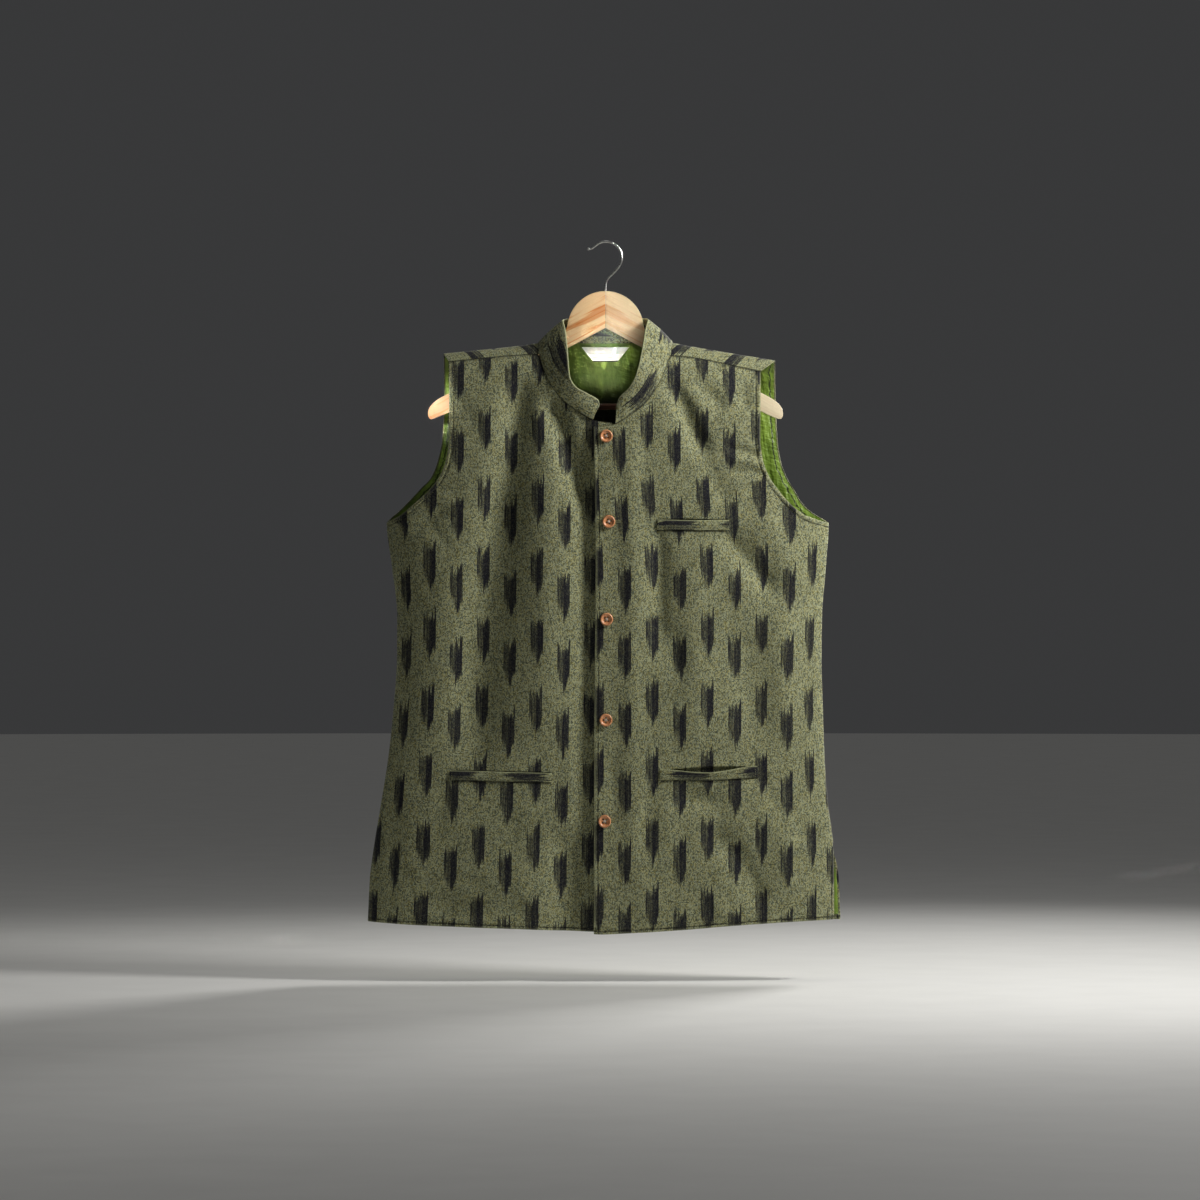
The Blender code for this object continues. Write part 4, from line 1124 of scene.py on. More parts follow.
def edge_paint(points, lines):
    """Paint along sewn edges: a pale edge, worn and painted as a highlight, and the
    distance to the stitches, whose groove the cloth draws as painted shade.
    """
    wear = np.zeros(points.shape[:2])
    seam = np.full(points.shape[:2], FAR_OFF)
    for line, stitch_at in lines:
        away, _ = line.measure(points[:, :, 0], points[:, :, 2])
        wear = np.maximum(wear, bell(away, HIGHLIGHT_AND_WEAR_WIDTH) * EDGE_HIGHLIGHT_AND_WEAR)
        seam = nearer(seam, away - stitch_at)
    return wear, seam


def welt_seam(side, x, z):
    """The distance up from the seams below and above each welt of a front, along which
    a line of painted shade is drawn.
    """
    seam = np.full(x.shape, FAR_OFF)
    for welt in WELTS:
        share = (x - welt.x1) / (welt.x2 - welt.x1)
        beside = (welt.panel == side) & (share > -0.01) & (share < 1.01)
        seam = np.where(beside, nearer(seam, z - welt_foot(welt, share) + 0.8), seam)
        if welt.gape == 0.0:
            seam = np.where(beside, nearer(seam, z - welt_top(welt, share) - 0.5), seam)
    return seam


def add_front(side):
    """Makes one front. Its edges are painted pale, as worn cloth and as a painted highlight,
    and painted shade lies along its stitches and its shoulder seam and in its pockets' mouths.
    """
    points = front_points(side)
    u, v = front_map(side, points[:, :, 0], points[:, :, 2])
    from_top = points[-1, :, 2][None, :] - points[:, :, 2]
    # Painted shade along the shoulder and neck seam, and a lighter painted shade in the pockets'
    # mouths.
    shoulder = 0.7 * bell(from_top, 1.2)
    wear, seam = edge_paint(points, EDGES[side])
    seam = nearer(seam, welt_seam(side, points[:, :, 0], points[:, :, 2]))
    shade = np.maximum(shoulder, 0.3 * mouth(side, points[:, :, 0], points[:, :, 2]))
    paint = {"wear": wear, "shade": shade, "seam": SEAM_ZERO + seam}
    mesh = sheet_mesh("cloth_front_" + side, points, u, v, paint)
    piece = add_piece("cloth_front_" + side, mesh, ikat_cotton)
    add_wall(piece, CLOTH_WALL)
    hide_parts("front_" + side)
    return piece, points


front_right, right_points = add_front("right")
front_left, left_points = add_front("left")
print("fronts:", right_points.shape[:2], left_points.shape[:2])

# %% [markdown]
# ## The back
# The back is a single cut. Above the underarm its columns gather to the corners of the
# neck, and beyond the shoulders' ridge two strips wrap over to seams on the front, so the
# shoulder seam sits forward, as on most stand-collar jackets. The strips belong to the same
# grid, with the points between them left off at the neck.

# %% Back
BACK_CORNER = 0.40
RIDGE_LEVEL = np.array(-140.0)
BACK_HEM_LEVEL = np.array(-856.0)
BACK_HALF = np.concatenate((np.linspace(0.0, BACK_CORNER, 25)[:-1],
                            np.linspace(BACK_CORNER, COARSE, 34)[:-1], TURN))
BACK_LOWER = np.unique(np.concatenate((np.linspace(0.0, 1.0, 112), FINE_AT_HEM)))
BACK_UPPER = np.concatenate((np.linspace(0.0, 0.9, 62)[1:] ** 1.15,
                             0.9 + 0.1 * np.sin(np.linspace(0.0, np.pi / 2, 14))))
BACK_UPPER = np.unique(np.minimum(1.0, BACK_UPPER))
OVER = (1.0 - np.cos(np.linspace(0.0, np.pi / 2, 15)))[1:]
FRONT_CORNER = 0.46
STRIP_LEAN = 0.55
RIDGE_ROWS = 6
STRIP_OVERLAP = 0.3


def back_across(side, place, z, rise):
    """Columns run straight up from the hem and gather to the neck's corner on the way."""
    edge = side_edge("back", side, z)
    corner = blend(edge * BACK_CORNER, np.sign(edge) * NECK_HALF_WIDTH, rise)
    share = (place - BACK_CORNER) / (1.0 - BACK_CORNER)
    return np.where(place <= BACK_CORNER, corner * place / BACK_CORNER,
                    blend(corner, edge, share))


def back_form(x, z, place):
    """The depth of the back's outer face with its largest folds alone."""
    slit = read(SECTIONS, "slit_back", z) * (z < SLIT_TOP) * (x > 0)
    y = stand_off("back", x, z, SHOULDER_DROP_BACK) + slit * place ** 4
    hold = soft_step((1.0 - place) / 0.12) * soft_step((-170.0 - z) / 60.0)
    return y - pushed(FOLDS["back"], x, z) * hold


def back_depth(x, z, place):
    """The depth of the back's outer face with all its creases and stitched edges."""
    y = back_form(x, z, place)
    y = y - pushed(CREASES["back"], x, z) * soft_step((1.0 - place) / 0.06)
    calm = soft_step((1.0 - place) / 0.1) * soft_step((-165.0 - z) / 60.0)
    for swell in BACK_SWELLS:
        y = y - swelling(swell, x, z) * calm
    ridge = soft_step((-150.0 - z) / 10.0)
    for line, stitch_at in EDGES["back"]:
        y = y - sewn(line, stitch_at, x, z) * ridge
    return y


def half_back(side, depth):
    """Half of the back, from its middle to one side, with the strip over the shoulder."""
    places = BACK_HALF
    hem_x = blend(0.0, side_edge("back", side, BACK_HEM_LEVEL), places)
    top_x = back_across(side, places, RIDGE_LEVEL, 1.0)
    in_neck = places < BACK_CORNER - 1e-6
    top = np.where(in_neck, read(BACK_NECK, "height", top_x),
                   read(SHOULDER_RIDGE, "height", top_x))
    hem = read(HEMS["back"], "height", hem_x)
    lower = blend(hem, UNDERARM_HEIGHT, BACK_LOWER[:, None])
    upper = blend(UNDERARM_HEIGHT, top, BACK_UPPER[1:, None])
    z = np.concatenate((lower, upper))
    rise = np.clip((z - UNDERARM_HEIGHT) / (top - UNDERARM_HEIGHT), 0.0, 1.0)
    x = back_across(side, places, z, rise)
    y = depth(x, z, places)
    below = z[:, -1] <= UNDERARM_HEIGHT
    slit = read(SECTIONS, "slit_back", z[:, -1]) * (z[:, -1] < SLIT_TOP) * (side == "left")
    y[below, -1] = (slit + SEAM_STEP)[below]
    main = np.stack((x, y, z), axis=2)
    ridge_end = side_edge("back", side, RIDGE_LEVEL)
    far = (np.abs(top_x) - NECK_HALF_WIDTH) / (np.abs(ridge_end) - NECK_HALF_WIDTH)
    front_end = side_edge("front", side, SHOULDER_LEVEL)
    seam_x = blend(front_top_x(side, FRONT_CORNER), front_end, np.clip(far, 0.0, 1.0))
    seam_z = read(FRONT_TOPS[side], "height", seam_x)
    strip_x = blend(top_x, seam_x, OVER[:, None])
    strip_z = blend(top, seam_z, OVER[:, None])
    strip_y = -stand_off("front", strip_x, strip_z, SHOULDER_DROP_FRONT)
    strip_z[-1] += STRIP_OVERLAP
    strip = np.stack((strip_x, strip_y, strip_z), axis=2)
    return np.concatenate((main, strip)), len(main)


# %% The whole back


def back_points(depth=back_depth):
    """Both halves of the back as one grid, and how many of its rows lie below the ridge."""
    left, main_rows = half_back("left", depth)
    right, _ = half_back("right", depth)
    return np.concatenate((left[:, :0:-1], right), axis=1), main_rows


def add_back():
    """Makes the back. Its cloth map runs on over the shoulders, along its own length."""
    points, main_rows = back_points()
    columns = points.shape[1]
    place = np.abs(np.concatenate((BACK_HALF[:0:-1], BACK_HALF)))
    spare = np.zeros(points.shape[:2], bool)
    spare[main_rows:, place < BACK_CORNER - 1e-6] = True
    steps = np.linalg.norm(np.diff(points, axis=0), axis=2)
    along = np.concatenate((np.zeros((1, columns)), np.cumsum(steps, axis=0)))
    v = along - 430.0 + points[0, :, 2][None, :] + 860.0
    u = PITCH / 2 - points[:, :, 0] - turn_length(points[:, :, 0], place)
    over = np.maximum(0.0, along - along[main_rows - 1])
    u = u - np.sign(points[:, :, 0]) * over * STRIP_LEAN
    # The edges painted pale, as worn cloth and as a painted highlight, and the distance to the
    # stitches, whose groove is drawn as painted shade.
    wear, seam = edge_paint(points, EDGES["back"])
    wear[main_rows - RIDGE_ROWS:] = 0.0
    seam[main_rows - RIDGE_ROWS:] = FAR_OFF
    # Painted shade on the strips, along the shoulder seams.
    shoulder = np.where(over > 0.0, bell(over[-1] - over, 1.1), 0.0)
    paint = {"wear": wear, "shade": 0.8 * shoulder, "seam": SEAM_ZERO + seam}
    mesh = sheet_mesh("cloth_back", points, u, v, paint, spare)
    piece = add_piece("cloth_back", mesh, ikat_cotton)
    add_wall(piece, CLOTH_WALL)
    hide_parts("back")
    return piece, points, main_rows


back, whole_back, main_rows = add_back()
print("back:", whole_back.shape[:2])

# %% [markdown]
# ## The lining
# The lining is a thin, bright green satin that shows in the neck, in the armholes and at
# the slit. It is smoother and shinier than the cotton: a lower roughness gives its gloss,
# and a bump of stretched noise its small creases. It could be draped by a simulation, but
# it hardly hangs free: it is laid inside the form of the cloth, moved in, and crinkled. The
# wandering seam round each armhole is painted as a dark line of painted shade, as it is on
# the cotton, and the lining is painted darker in the neck, as painted shade.

# %% Satin
GREEN_SHADED = (84, 110, 26)
GREEN_LIT = (146, 176, 66)
GREEN_SHADOW = (18, 26, 8)
SEAM_WANDER = 5.0
CREASE_DEPTH = 4.5


def satin():
    """The lining's green satin, creased along its length."""
    finish = Finish("lining_satin")
    u, v = finish.map("cloth")
    broad = finish.cloud(finish.place(u * 0.03, v * 0.015), 1.0, 2.0)
    thread = finish.cloud(finish.place(u * 2.2, v * 0.12, 4.0), 1.0, 1.0)
    crease = finish.cloud(finish.place(u * 0.13 + v * 0.02, v * 0.022, 9.0), 1.0, 3.0)
    pucker = finish.cloud(finish.place(u * 0.07, v * 0.20 + u * 0.05, 17.0), 1.0, 2.0)
    # The satin passes between a shaded and a lit green with its broad noise, its threads and its
    # creases: partly its own uneven tone, partly painted light and shade on the creases.
    tone = (broad * 0.5 + thread * 0.2 + crease * 0.3).step(0.3, 0.7)
    base = finish.mix(tone, colour(*GREEN_SHADED), colour(*GREEN_LIT))
    # The armhole's wandering seam is drawn as a dark line: painted shade.
    wander = (pucker - 0.5) * SEAM_WANDER
    seam = 1.0 - abs(finish.marked("seam") - SEAM_ZERO + wander).step(0.4, 1.4)
    shade = (finish.marked("shade") + seam * 0.75).step(0.0, 1.0)
    base = finish.mix(shade, base, colour(*GREEN_SHADOW))
    finish.feed(Base_Color=base, Roughness=0.50 + (broad - 0.5) * 0.2)
    finish.feed(Sheen_Weight=0.2, Sheen_Roughness=0.3)
    finish.bump(thread * 0.02 + crease * 0.6 + pucker * 0.38, CREASE_DEPTH)
    return finish.material


lining_satin = satin()
print("satin:", len(lining_satin.node_tree.nodes), "nodes")

# %% Lining sheets
LINING_WALL = 0.7
LINING_INSET = 2.3
LINING_LOOSE = 2.8
LINING_SEAM = 6.5
LINING_RISE = 9.0
NECK_CRINKLE = Swell(7.5, 70.0, 41.0, 1.5)
BROAD_CRINKLE = Swell(24.0, 90.0, 44.0, 1.0)
ARMHOLE_CRINKLE = Swell(7.0, 30.0, 47.0, 1.7)


def lining_push(x, z, edge_share, armholes):
    """How far a lining lies in from the cloth's outer face."""
    loose = soft_step(edge_share)
    neck = soft_step((95.0 - np.abs(x)) / 40.0) * soft_step((z + 330.0) / 80.0)
    crinkle = swelling(NECK_CRINKLE, x, z) * neck + swelling(BROAD_CRINKLE, x, z)
    for line in armholes:
        away, along = line.measure(x, z)
        crinkle = crinkle + swelling(ARMHOLE_CRINKLE, along, away) * bell(away - 9.0, 14.0)
    crinkle = np.maximum(-1.0, crinkle) * (0.35 + 0.65 * loose)
    return LINING_INSET + LINING_LOOSE * loose + crinkle


def add_lining(name, node, points, armholes, drop_top):
    """A lining laid inside a grid of cloth points."""
    rows, columns = points.shape[:2]
    row = np.arange(rows)[:, None]
    column = np.arange(columns)[None, :]
    edge = np.minimum(np.minimum(column, columns - 1 - column), rows - 1 - row) / 9.0
    x = points[:, :, 0]
    z = points[:, :, 2]
    push = lining_push(x, z, edge, armholes)
    moved = points - normals_of(points) * push[:, :, None]
    moved[:, :, 2] += LINING_RISE * soft_step((-840.0 - z) / 20.0)
    moved[-1, :, 2] -= drop_top
    if node == "lining_back":
        in_neck = np.abs(x[-1]) < NECK_HALF_WIDTH - 1.0
        moved[-1, in_neck, 2] = read(BACK_NECK, "height", x[-1, in_neck]) + 1.0
    # Painted shade: a deep one down inside the neck, and a lighter one across the neck's top.
    deep = soft_step((-158.0 - z) / 60.0) * soft_step((90.0 - np.abs(x)) / 30.0)
    to_seam = np.full(x.shape, FAR_OFF)
    for line in armholes:
        to_seam = nearer(to_seam, line.measure(x, z)[0] - LINING_SEAM)
    neck = 0.3 * soft_step((75.0 - np.abs(x)) / 20.0) * soft_step((z + 260.0) / 40.0)
    paint = {"shade": np.maximum(neck, 0.92 * deep), "seam": SEAM_ZERO + to_seam}
    mesh = sheet_mesh(name, moved, x, z, paint)
    piece = add_piece(name, mesh, lining_satin)
    add_wall(piece, LINING_WALL, rounding=0.2)
    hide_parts(node)
    return piece, moved


def inside_front(side):
    """The part of a front that is lined, from the facing to the side."""
    points = front_points(side, creased_form)
    from_facing = np.searchsorted(FRONT_PLACES, 0.20)
    keep = slice(from_facing, len(FRONT_PLACES) - 4)
    if side == "left":
        return points[::2, keep]
    return points[::2, ::-1][:, keep][:, ::-1]


lined_right, lined_right_points = add_lining(
    "satin_front_right", "lining_front_right", inside_front("right"),
    [EDGES["right"][0][0]], 3.0)
lined_left, lined_left_points = add_lining(
    "satin_front_left", "lining_front_left", inside_front("left"),
    [EDGES["left"][0][0]], 3.0)
lined_back, lined_back_points = add_lining(
    "satin_back", "lining_back", back_points(back_form)[0][:main_rows - 1, 4:-4],
    [EDGES["back"][0][0], EDGES["back"][1][0]], 0.0)
print("lining of the back:", lined_back_points.shape[:2])

# %% [markdown]
# ## The collar
# A stand collar is one band, sewn to the neck along its lower edge and turned over at its
# upper one, where the fold is painted as a thin pale line, as worn cloth and as a painted
# highlight. Along its foot it is painted darker, as painted shade. Here the band is a loft:
# its foot follows the neck's seam, worked out from the same points as the panels, and its
# upper edge follows a short table. The warp runs along the band, and the marks are drawn
# in a little.

# %% Collar
CollarTop = namedtuple("CollarTop", "share right_x right_z left_x left_z depth")
COLLAR_TOP = (
    CollarTop(0.00, -5.5, -205.0, 13.6, -206.5, -45.0),
    CollarTop(0.05, -12.0, -199.6, 18.6, -197.4, -47.0),
    CollarTop(0.12, -23.0, -193.6, 29.0, -187.2, -49.5),
    CollarTop(0.22, -37.0, -185.4, 37.4, -172.0, -51.5),
    CollarTop(0.30, -44.5, -172.0, 41.6, -158.0, -50.5),
    CollarTop(0.38, -46.5, -151.0, 44.8, -143.0, -45.5),
    CollarTop(0.46, -48.0, -131.0, 47.6, -126.0, -37.0),
    CollarTop(0.53, -50.5, -112.0, 50.4, -110.0, -25.5),
    CollarTop(0.60, -53.0, -101.6, 53.0, -100.8, -11.0),
    CollarTop(0.70, -49.5, -98.6, 49.5, -98.0, 8.0),
    CollarTop(0.84, -29.5, -97.2, 29.5, -97.0, 21.0),
    CollarTop(1.00, 0.0, -96.6, 0.0, -96.6, 24.0),
)
COLLAR_START = 0.128
COLLAR_WALL = 2.0
COLLAR_BOW = 1.5
COLLAR_SEAM_STEP = 0.2
COLLAR_ROWS = 18


def neck_run(side):
    """The neck's seam along one front, from the collar's end to the shoulder."""
    place = np.linspace(COLLAR_START, FRONT_CORNER, 56)
    z = read(FRONT_TOPS[side], "height", front_top_x(side, place))
    x = blend(middle_edge(side, z), side_edge("front", side, z), place)
    y = underlap(side, x) - stand_off("front", x, z, SHOULDER_DROP_FRONT)
    return np.stack((x, y, z), axis=1)


def neck_seam():
    """The whole neck: the right front's end, round the back, to the left front's end."""
    corner = len(BACK_HALF) - 1 - np.searchsorted(BACK_HALF, BACK_CORNER - 1e-6)
    over = whole_back[main_rows - 1:-1]
    round_back = whole_back[main_rows - 1, ::-1][corner + 1:-corner - 1]
    right = np.concatenate((neck_run("right"), over[::-1, -1 - corner]))
    left = np.concatenate((neck_run("left"), over[::-1, corner]))
    return np.concatenate((right, round_back, left[::-1]))


# %% The band
COLLAR_END_LENGTH = 10.0
COLLAR_END_DROP = 0.18
COLLAR_HIGHLIGHT_AND_WEAR = 1.2
MARKS_DRAWN_IN = (0.85, 0.8)
MARKS_SHIFT = (-27.2, 49.0)
MARKS_LEAN = 0.046


def run_along(points):
    """How far along a run of points each one lies."""
    steps = np.linalg.norm(np.diff(points, axis=0), axis=1)
    return np.concatenate(([0.0], np.cumsum(steps)))


def band(seam):
    """The collar's grid of points, and the two numbers of its cloth map."""
    steps = run_along(seam)
    middle = np.argmin(np.abs(seam[:, 0]) - seam[:, 1] * 10)
    on_right = np.arange(len(seam)) <= middle
    from_end = np.where(on_right, steps / steps[middle],
                        (steps[-1] - steps) / (steps[-1] - steps[middle]))
    top_x = np.where(on_right, read(COLLAR_TOP, "right_x", from_end),
                     read(COLLAR_TOP, "left_x", from_end))
    top_z = np.where(on_right, read(COLLAR_TOP, "right_z", from_end),
                     read(COLLAR_TOP, "left_z", from_end))
    top = np.stack((top_x, read(COLLAR_TOP, "depth", from_end), top_z), axis=1)
    up = top - seam
    height = np.linalg.norm(up, axis=1, keepdims=True)
    foot = seam + up / height * COLLAR_SEAM_STEP
    from_ends = np.minimum(steps, steps[-1] - steps)
    to_end = np.clip(1.0 - from_ends / COLLAR_END_LENGTH, 0.0, 1.0)
    top = top - up * COLLAR_END_DROP * to_end[:, None] ** 2.5
    out = foot * np.array((1.0, 1.0, 0.0))
    out = out / np.linalg.norm(out, axis=1, keepdims=True)
    share = np.linspace(0.0, 1.0, COLLAR_ROWS)[:, None, None]
    points = foot + (top - foot) * share + out * COLLAR_BOW * 4 * share * (1 - share)
    waves = np.sin(steps / 9.0) * np.sin(steps / 31.0 + 0.7) * 0.5
    points = points + out * (waves[:, None] * np.sin(np.pi * share))
    rise = np.broadcast_to(share[:, :, 0] * height[:, 0], points.shape[:2])
    run = np.broadcast_to(steps, points.shape[:2])
    return points, rise, run


def add_collar():
    """Makes the collar, painted pale along its fold, as worn cloth and as a painted
    highlight, and painted darker along its seam, as painted shade.
    """
    seam = neck_seam()
    points, rise, run = band(seam)
    height = rise[-1][None, :]
    wear = bell(height - rise, 1.0) * COLLAR_HIGHLIGHT_AND_WEAR
    # Painted shade along the collar's foot.
    paint = {"wear": wear, "shade": 0.75 * bell(rise, 1.6)}
    u = rise * MARKS_DRAWN_IN[0] + PITCH / 2 + MARKS_SHIFT[0] + run * MARKS_LEAN
    v = run * MARKS_DRAWN_IN[1] + MARKS_SHIFT[1] + 11.0 * soft_step((200.0 - run) / 80.0)
    mesh = sheet_mesh("cloth_collar", points, u, v, paint)
    piece = add_piece("cloth_collar", mesh, ikat_cotton)
    add_wall(piece, COLLAR_WALL, offset=0.0, rounding=0.7)
    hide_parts("collar")
    return piece, points


collar, collar_points = add_collar()
print("collar:", collar_points.shape[:2])

# %% [markdown]
# ## The welts
# A welt is a narrow folded strip that finishes a pocket's mouth. Each one is a small grid
# laid on its front's depth: its lower edge is sewn down flat, and its upper edge stands
# off a little. The wearer's left hip pocket gapes, so its lip droops.

# %% Welts
WELT_WALL = 1.4
WELT_GAP = 0.4
WELT_ROLL = 0.5
WELT_HIGHLIGHT_AND_WEAR = 1.1
WELT_SHIFT = (42.0, 53.0, 22.0)


def add_welt(welt, order):
    """Makes a welt. Each one is cut from another place in the cloth."""
    share = np.linspace(0.0, 1.0, 97)[None, :]
    up = np.linspace(0.0, 1.0, 15)[:, None]
    x = blend(welt.x1, welt.x2, share) + 0.0 * up
    low = welt_foot(welt, share)
    z = blend(low, welt_top(welt, share), up)
    y = front_depth(welt.panel, x, z) - mouth(welt.panel, x, z) * PIT_DEPTH
    roll = WELT_ROLL * arch(up) ** 0.7
    ends = 0.35 * (1.0 - soft_step(share * 30.0) * soft_step((1.0 - share) * 30.0))
    y = y - WELT_GAP - welt.gape * arch(share) ** 2 * up ** 1.5 - roll + ends
    points = np.stack((x, y, z), axis=2)
    rise = z - low
    # The upper edge painted pale, as worn cloth and as a painted highlight, and painted shade along
    # the foot.
    wear = bell(rise[-1][None, :] - rise, 0.9) * WELT_HIGHLIGHT_AND_WEAR
    foot = bell(rise, 0.8)
    u = rise + PITCH / 2 - 6.0 + 2.0 * PITCH * order
    v = x + WELT_SHIFT[order]
    mesh = sheet_mesh("cloth_" + welt.name, points, u, v, {"wear": wear, "shade": 0.6 * foot})
    piece = add_piece("cloth_" + welt.name, mesh, ikat_cotton)
    add_wall(piece, WELT_WALL, offset=1.0, rounding=0.5)
    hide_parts(welt.name)
    return piece, points


welts = [add_welt(welt, order) for order, welt in enumerate(WELTS)]
print("welts:", ", ".join(piece.name for piece, _ in welts))

# %% [markdown]
# ## Thread
# Topstitching holds every edge flat. Each stitch is a stretched ball a little over two
# millimetres long, half sunk in its groove. Thousands of separate objects would be slow, so
# all the stitches of a piece are added to one mesh.

# %% Stitches
STITCH_PITCH = 3.1
STITCH_LENGTH = 2.3
STITCH_RADIUS = 0.30
PROUD = 0.02


def thread_finish(name, tone, dark):
    """Twisted thread, whose plies pass between two tones."""
    finish = Finish(name)
    x, y, z = finish.here()
    ply = finish.cloud(finish.place(x * 1.5, y * 1.5, z * 1.5), 1.0, 2.0)
    finish.feed(Base_Color=finish.mix(ply, colour(*dark), colour(*tone)), Roughness=0.6)
    finish.feed(Sheen_Weight=0.3)
    finish.bump(ply, 0.08)
    return finish.material


olive_thread = thread_finish("olive_thread", (150, 150, 104), (88, 90, 60))
pale_thread = thread_finish("pale_thread", (240, 236, 224), (196, 190, 176))


def lay_stitch(bm, start, end, out, radius):
    """Adds one stitch to a mesh: a ball stretched between two points."""
    run = end - start
    side = run.cross(out).normalized()
    out = side.cross(run).normalized()
    turn = Matrix((run.normalized(), side, out)).transposed().to_4x4()
    size = Matrix.Diagonal((run.length / 2, radius, radius * 0.8, 1.0))
    place = Matrix.Translation((start + end) / 2) @ turn @ size
    bmesh.ops.create_uvsphere(bm, u_segments=6, v_segments=5, radius=1.0, matrix=place)


def stitch_row(bm, points, outward, length=STITCH_LENGTH, radius=STITCH_RADIUS):
    """Adds a stitch at every point of a row, along the row. Outward is one direction for
    them all, or one for each."""
    runs = np.gradient(points, axis=0)
    runs = runs / np.linalg.norm(runs, axis=1, keepdims=True)
    for point, run, out in zip(points, runs, np.broadcast_to(outward, points.shape)):
        half = Vector(run * length / 2) * MM
        middle = Vector(point) * MM
        lay_stitch(bm, middle - half, middle + half, Vector(out), radius * MM)


def add_thread(name, bm, material):
    """Puts the stitches of one mesh in the scene."""
    return add_piece(name, mesh_of(name, bm), material)


def front_row(side, line, start=2.0, end=2.0):
    """Places for stitches on a front, just proud of its cloth."""
    x, z = line.dots(STITCH_PITCH, start, end)
    return np.stack((x, front_depth(side, x, z) - PROUD, z), axis=1)


def back_row(line, start=2.0, end=2.0):
    """Places for stitches on the back, just proud of its cloth."""
    x, z = line.dots(STITCH_PITCH, start, end)
    side = np.where(x < 0, side_edge("back", "right", z), side_edge("back", "left", z))
    return np.stack((x, back_depth(x, z, x / side) + PROUD, z), axis=1)


# %% Stitches of the fronts and the back
FRONT_OUT = (0.0, -1.0, 0.0)
BACK_OUT = (0.0, 1.0, 0.0)
for side in ("right", "left"):
    bm = bmesh.new()
    inward = EDGE_STITCH if side == "right" else -EDGE_STITCH
    armhole = EDGES[side][0][0].beside(-inward)
    stitch_row(bm, front_row(side, armhole, 6.0, 4.0), FRONT_OUT)
    stitch_row(bm, front_row(side, EDGES[side][1][0].beside(HEM_STITCH)), FRONT_OUT)
    if side == "left":
        placket = PLACKET.beside(-PLACKET_STITCH)
        stitch_row(bm, front_row(side, placket, 3.0, 3.0), FRONT_OUT)
    add_thread("stitches_front_" + side, bm, olive_thread)
bm = bmesh.new()
stitch_row(bm, back_row(EDGES["back"][2][0].beside(HEM_STITCH)), BACK_OUT)
stitch_row(bm, back_row(EDGES["back"][0][0].beside(-EDGE_STITCH), 6.0, 8.0), BACK_OUT)
stitch_row(bm, back_row(EDGES["back"][1][0].beside(EDGE_STITCH), 6.0, 8.0), BACK_OUT)
add_thread("stitches_back", bm, olive_thread)

# %% Stitches of the collar and the welts
LEVEL = np.array((1.0, 1.0, 0.0))
WELT_END_STITCH = 1.6


def grid_row(points, row, pitch):
    """Evenly spaced places along one row of a grid."""
    line = points[row]
    run = run_along(line)
    at = np.arange(pitch, run[-1] - pitch, pitch)
    return np.stack([np.interp(at, run, line[:, axis]) for axis in range(3)], axis=1)


def collar_stitches():
    """A row of stitches along the collar's foot and another below its upper edge."""
    bm = bmesh.new()
    lifted = collar_points + normals_of(collar_points) * (COLLAR_WALL / 2 + PROUD)
    for row in (2, COLLAR_ROWS - 3):
        places = grid_row(lifted, row, STITCH_PITCH)
        stitch_row(bm, places, places * LEVEL)
    return add_thread("stitches_collar", bm, olive_thread)


def welt_stitches():
    """Stitches along each welt's foot and down both its ends."""
    bm = bmesh.new()
    proud = np.array((0.0, -WELT_WALL - PROUD, 0.0))
    for _, points in welts:
        stitch_row(bm, grid_row(points + proud, 2, STITCH_PITCH), FRONT_OUT)
        for column in (2, -3):
            stitch_row(bm, points[1:-1:3, column] + proud, FRONT_OUT, WELT_END_STITCH)
    return add_thread("stitches_welts", bm, olive_thread)


collar_stitches()
welt_stitches()

# %% [markdown]
# ## Buttons and buttonholes
# The buttons are turned from coconut shell: a thick rim, a sunken middle and four holes. The
# profile is spun with a Screw modifier and the holes are cut with a Boolean. Pale thread
# crosses between the holes. Behind each button a worked buttonhole runs sideways, and only
# its end shows.

# %% Coconut shell
def coconut():
    """Polished coconut shell: fibres and dark spots under a thin gloss."""
    finish = Finish("coconut_shell")
    x, y, z = finish.here()
    fibre = finish.cloud(finish.place(x * 0.35, y * 0.9, z * 1.6), 1.0, 4.0)
    spot = finish.cloud(finish.place(x * 1.4, y * 1.4, z * 1.4), 1.0, 3.0).step(0.55, 0.75)
    base = finish.mix(fibre.step(0.3, 0.7), colour(196, 118, 66), colour(238, 176, 126))
    base = finish.mix(spot * 0.55, base, colour(150, 80, 40))
    finish.feed(Base_Color=base, Roughness=0.38 + (fibre - 0.5) * 0.3)
    finish.feed(Coat_Weight=0.25, Coat_Roughness=0.2)
    finish.bump(fibre, 0.12)
    return finish.material


coconut_shell = coconut()
print("coconut shell:", len(coconut_shell.node_tree.nodes), "nodes")

# %% Buttons
HOLE_REACH = 1.9
HOLE_RADIUS = 1.25
CUTTER_LENGTH = 12.0
THREAD_RADIUS = 0.28
THREAD_HEIGHT = 1.75
THREAD_STEP = 0.3
Ring = namedtuple("Ring", "radius height")
BUTTON_PROFILE = (
    Ring(0.0, 1.55), Ring(3.6, 1.5), Ring(4.6, 1.6), Ring(5.2, 1.95), Ring(5.7, 2.55),
    Ring(6.2, 3.0), Ring(6.75, 3.2), Ring(7.3, 3.0), Ring(7.75, 2.5), Ring(8.0, 1.75),
    Ring(7.8, 1.1), Ring(7.1, 0.5), Ring(6.2, 0.15), Ring(5.4, 0.0), Ring(0.0, 0.0),
)


TOUCHING = 0.00001


def applied(piece):
    """The piece's mesh with its modifiers worked in."""
    bpy.context.view_layer.update()
    graph = bpy.context.evaluated_depsgraph_get()
    return bpy.data.meshes.new_from_object(piece.evaluated_get(graph))


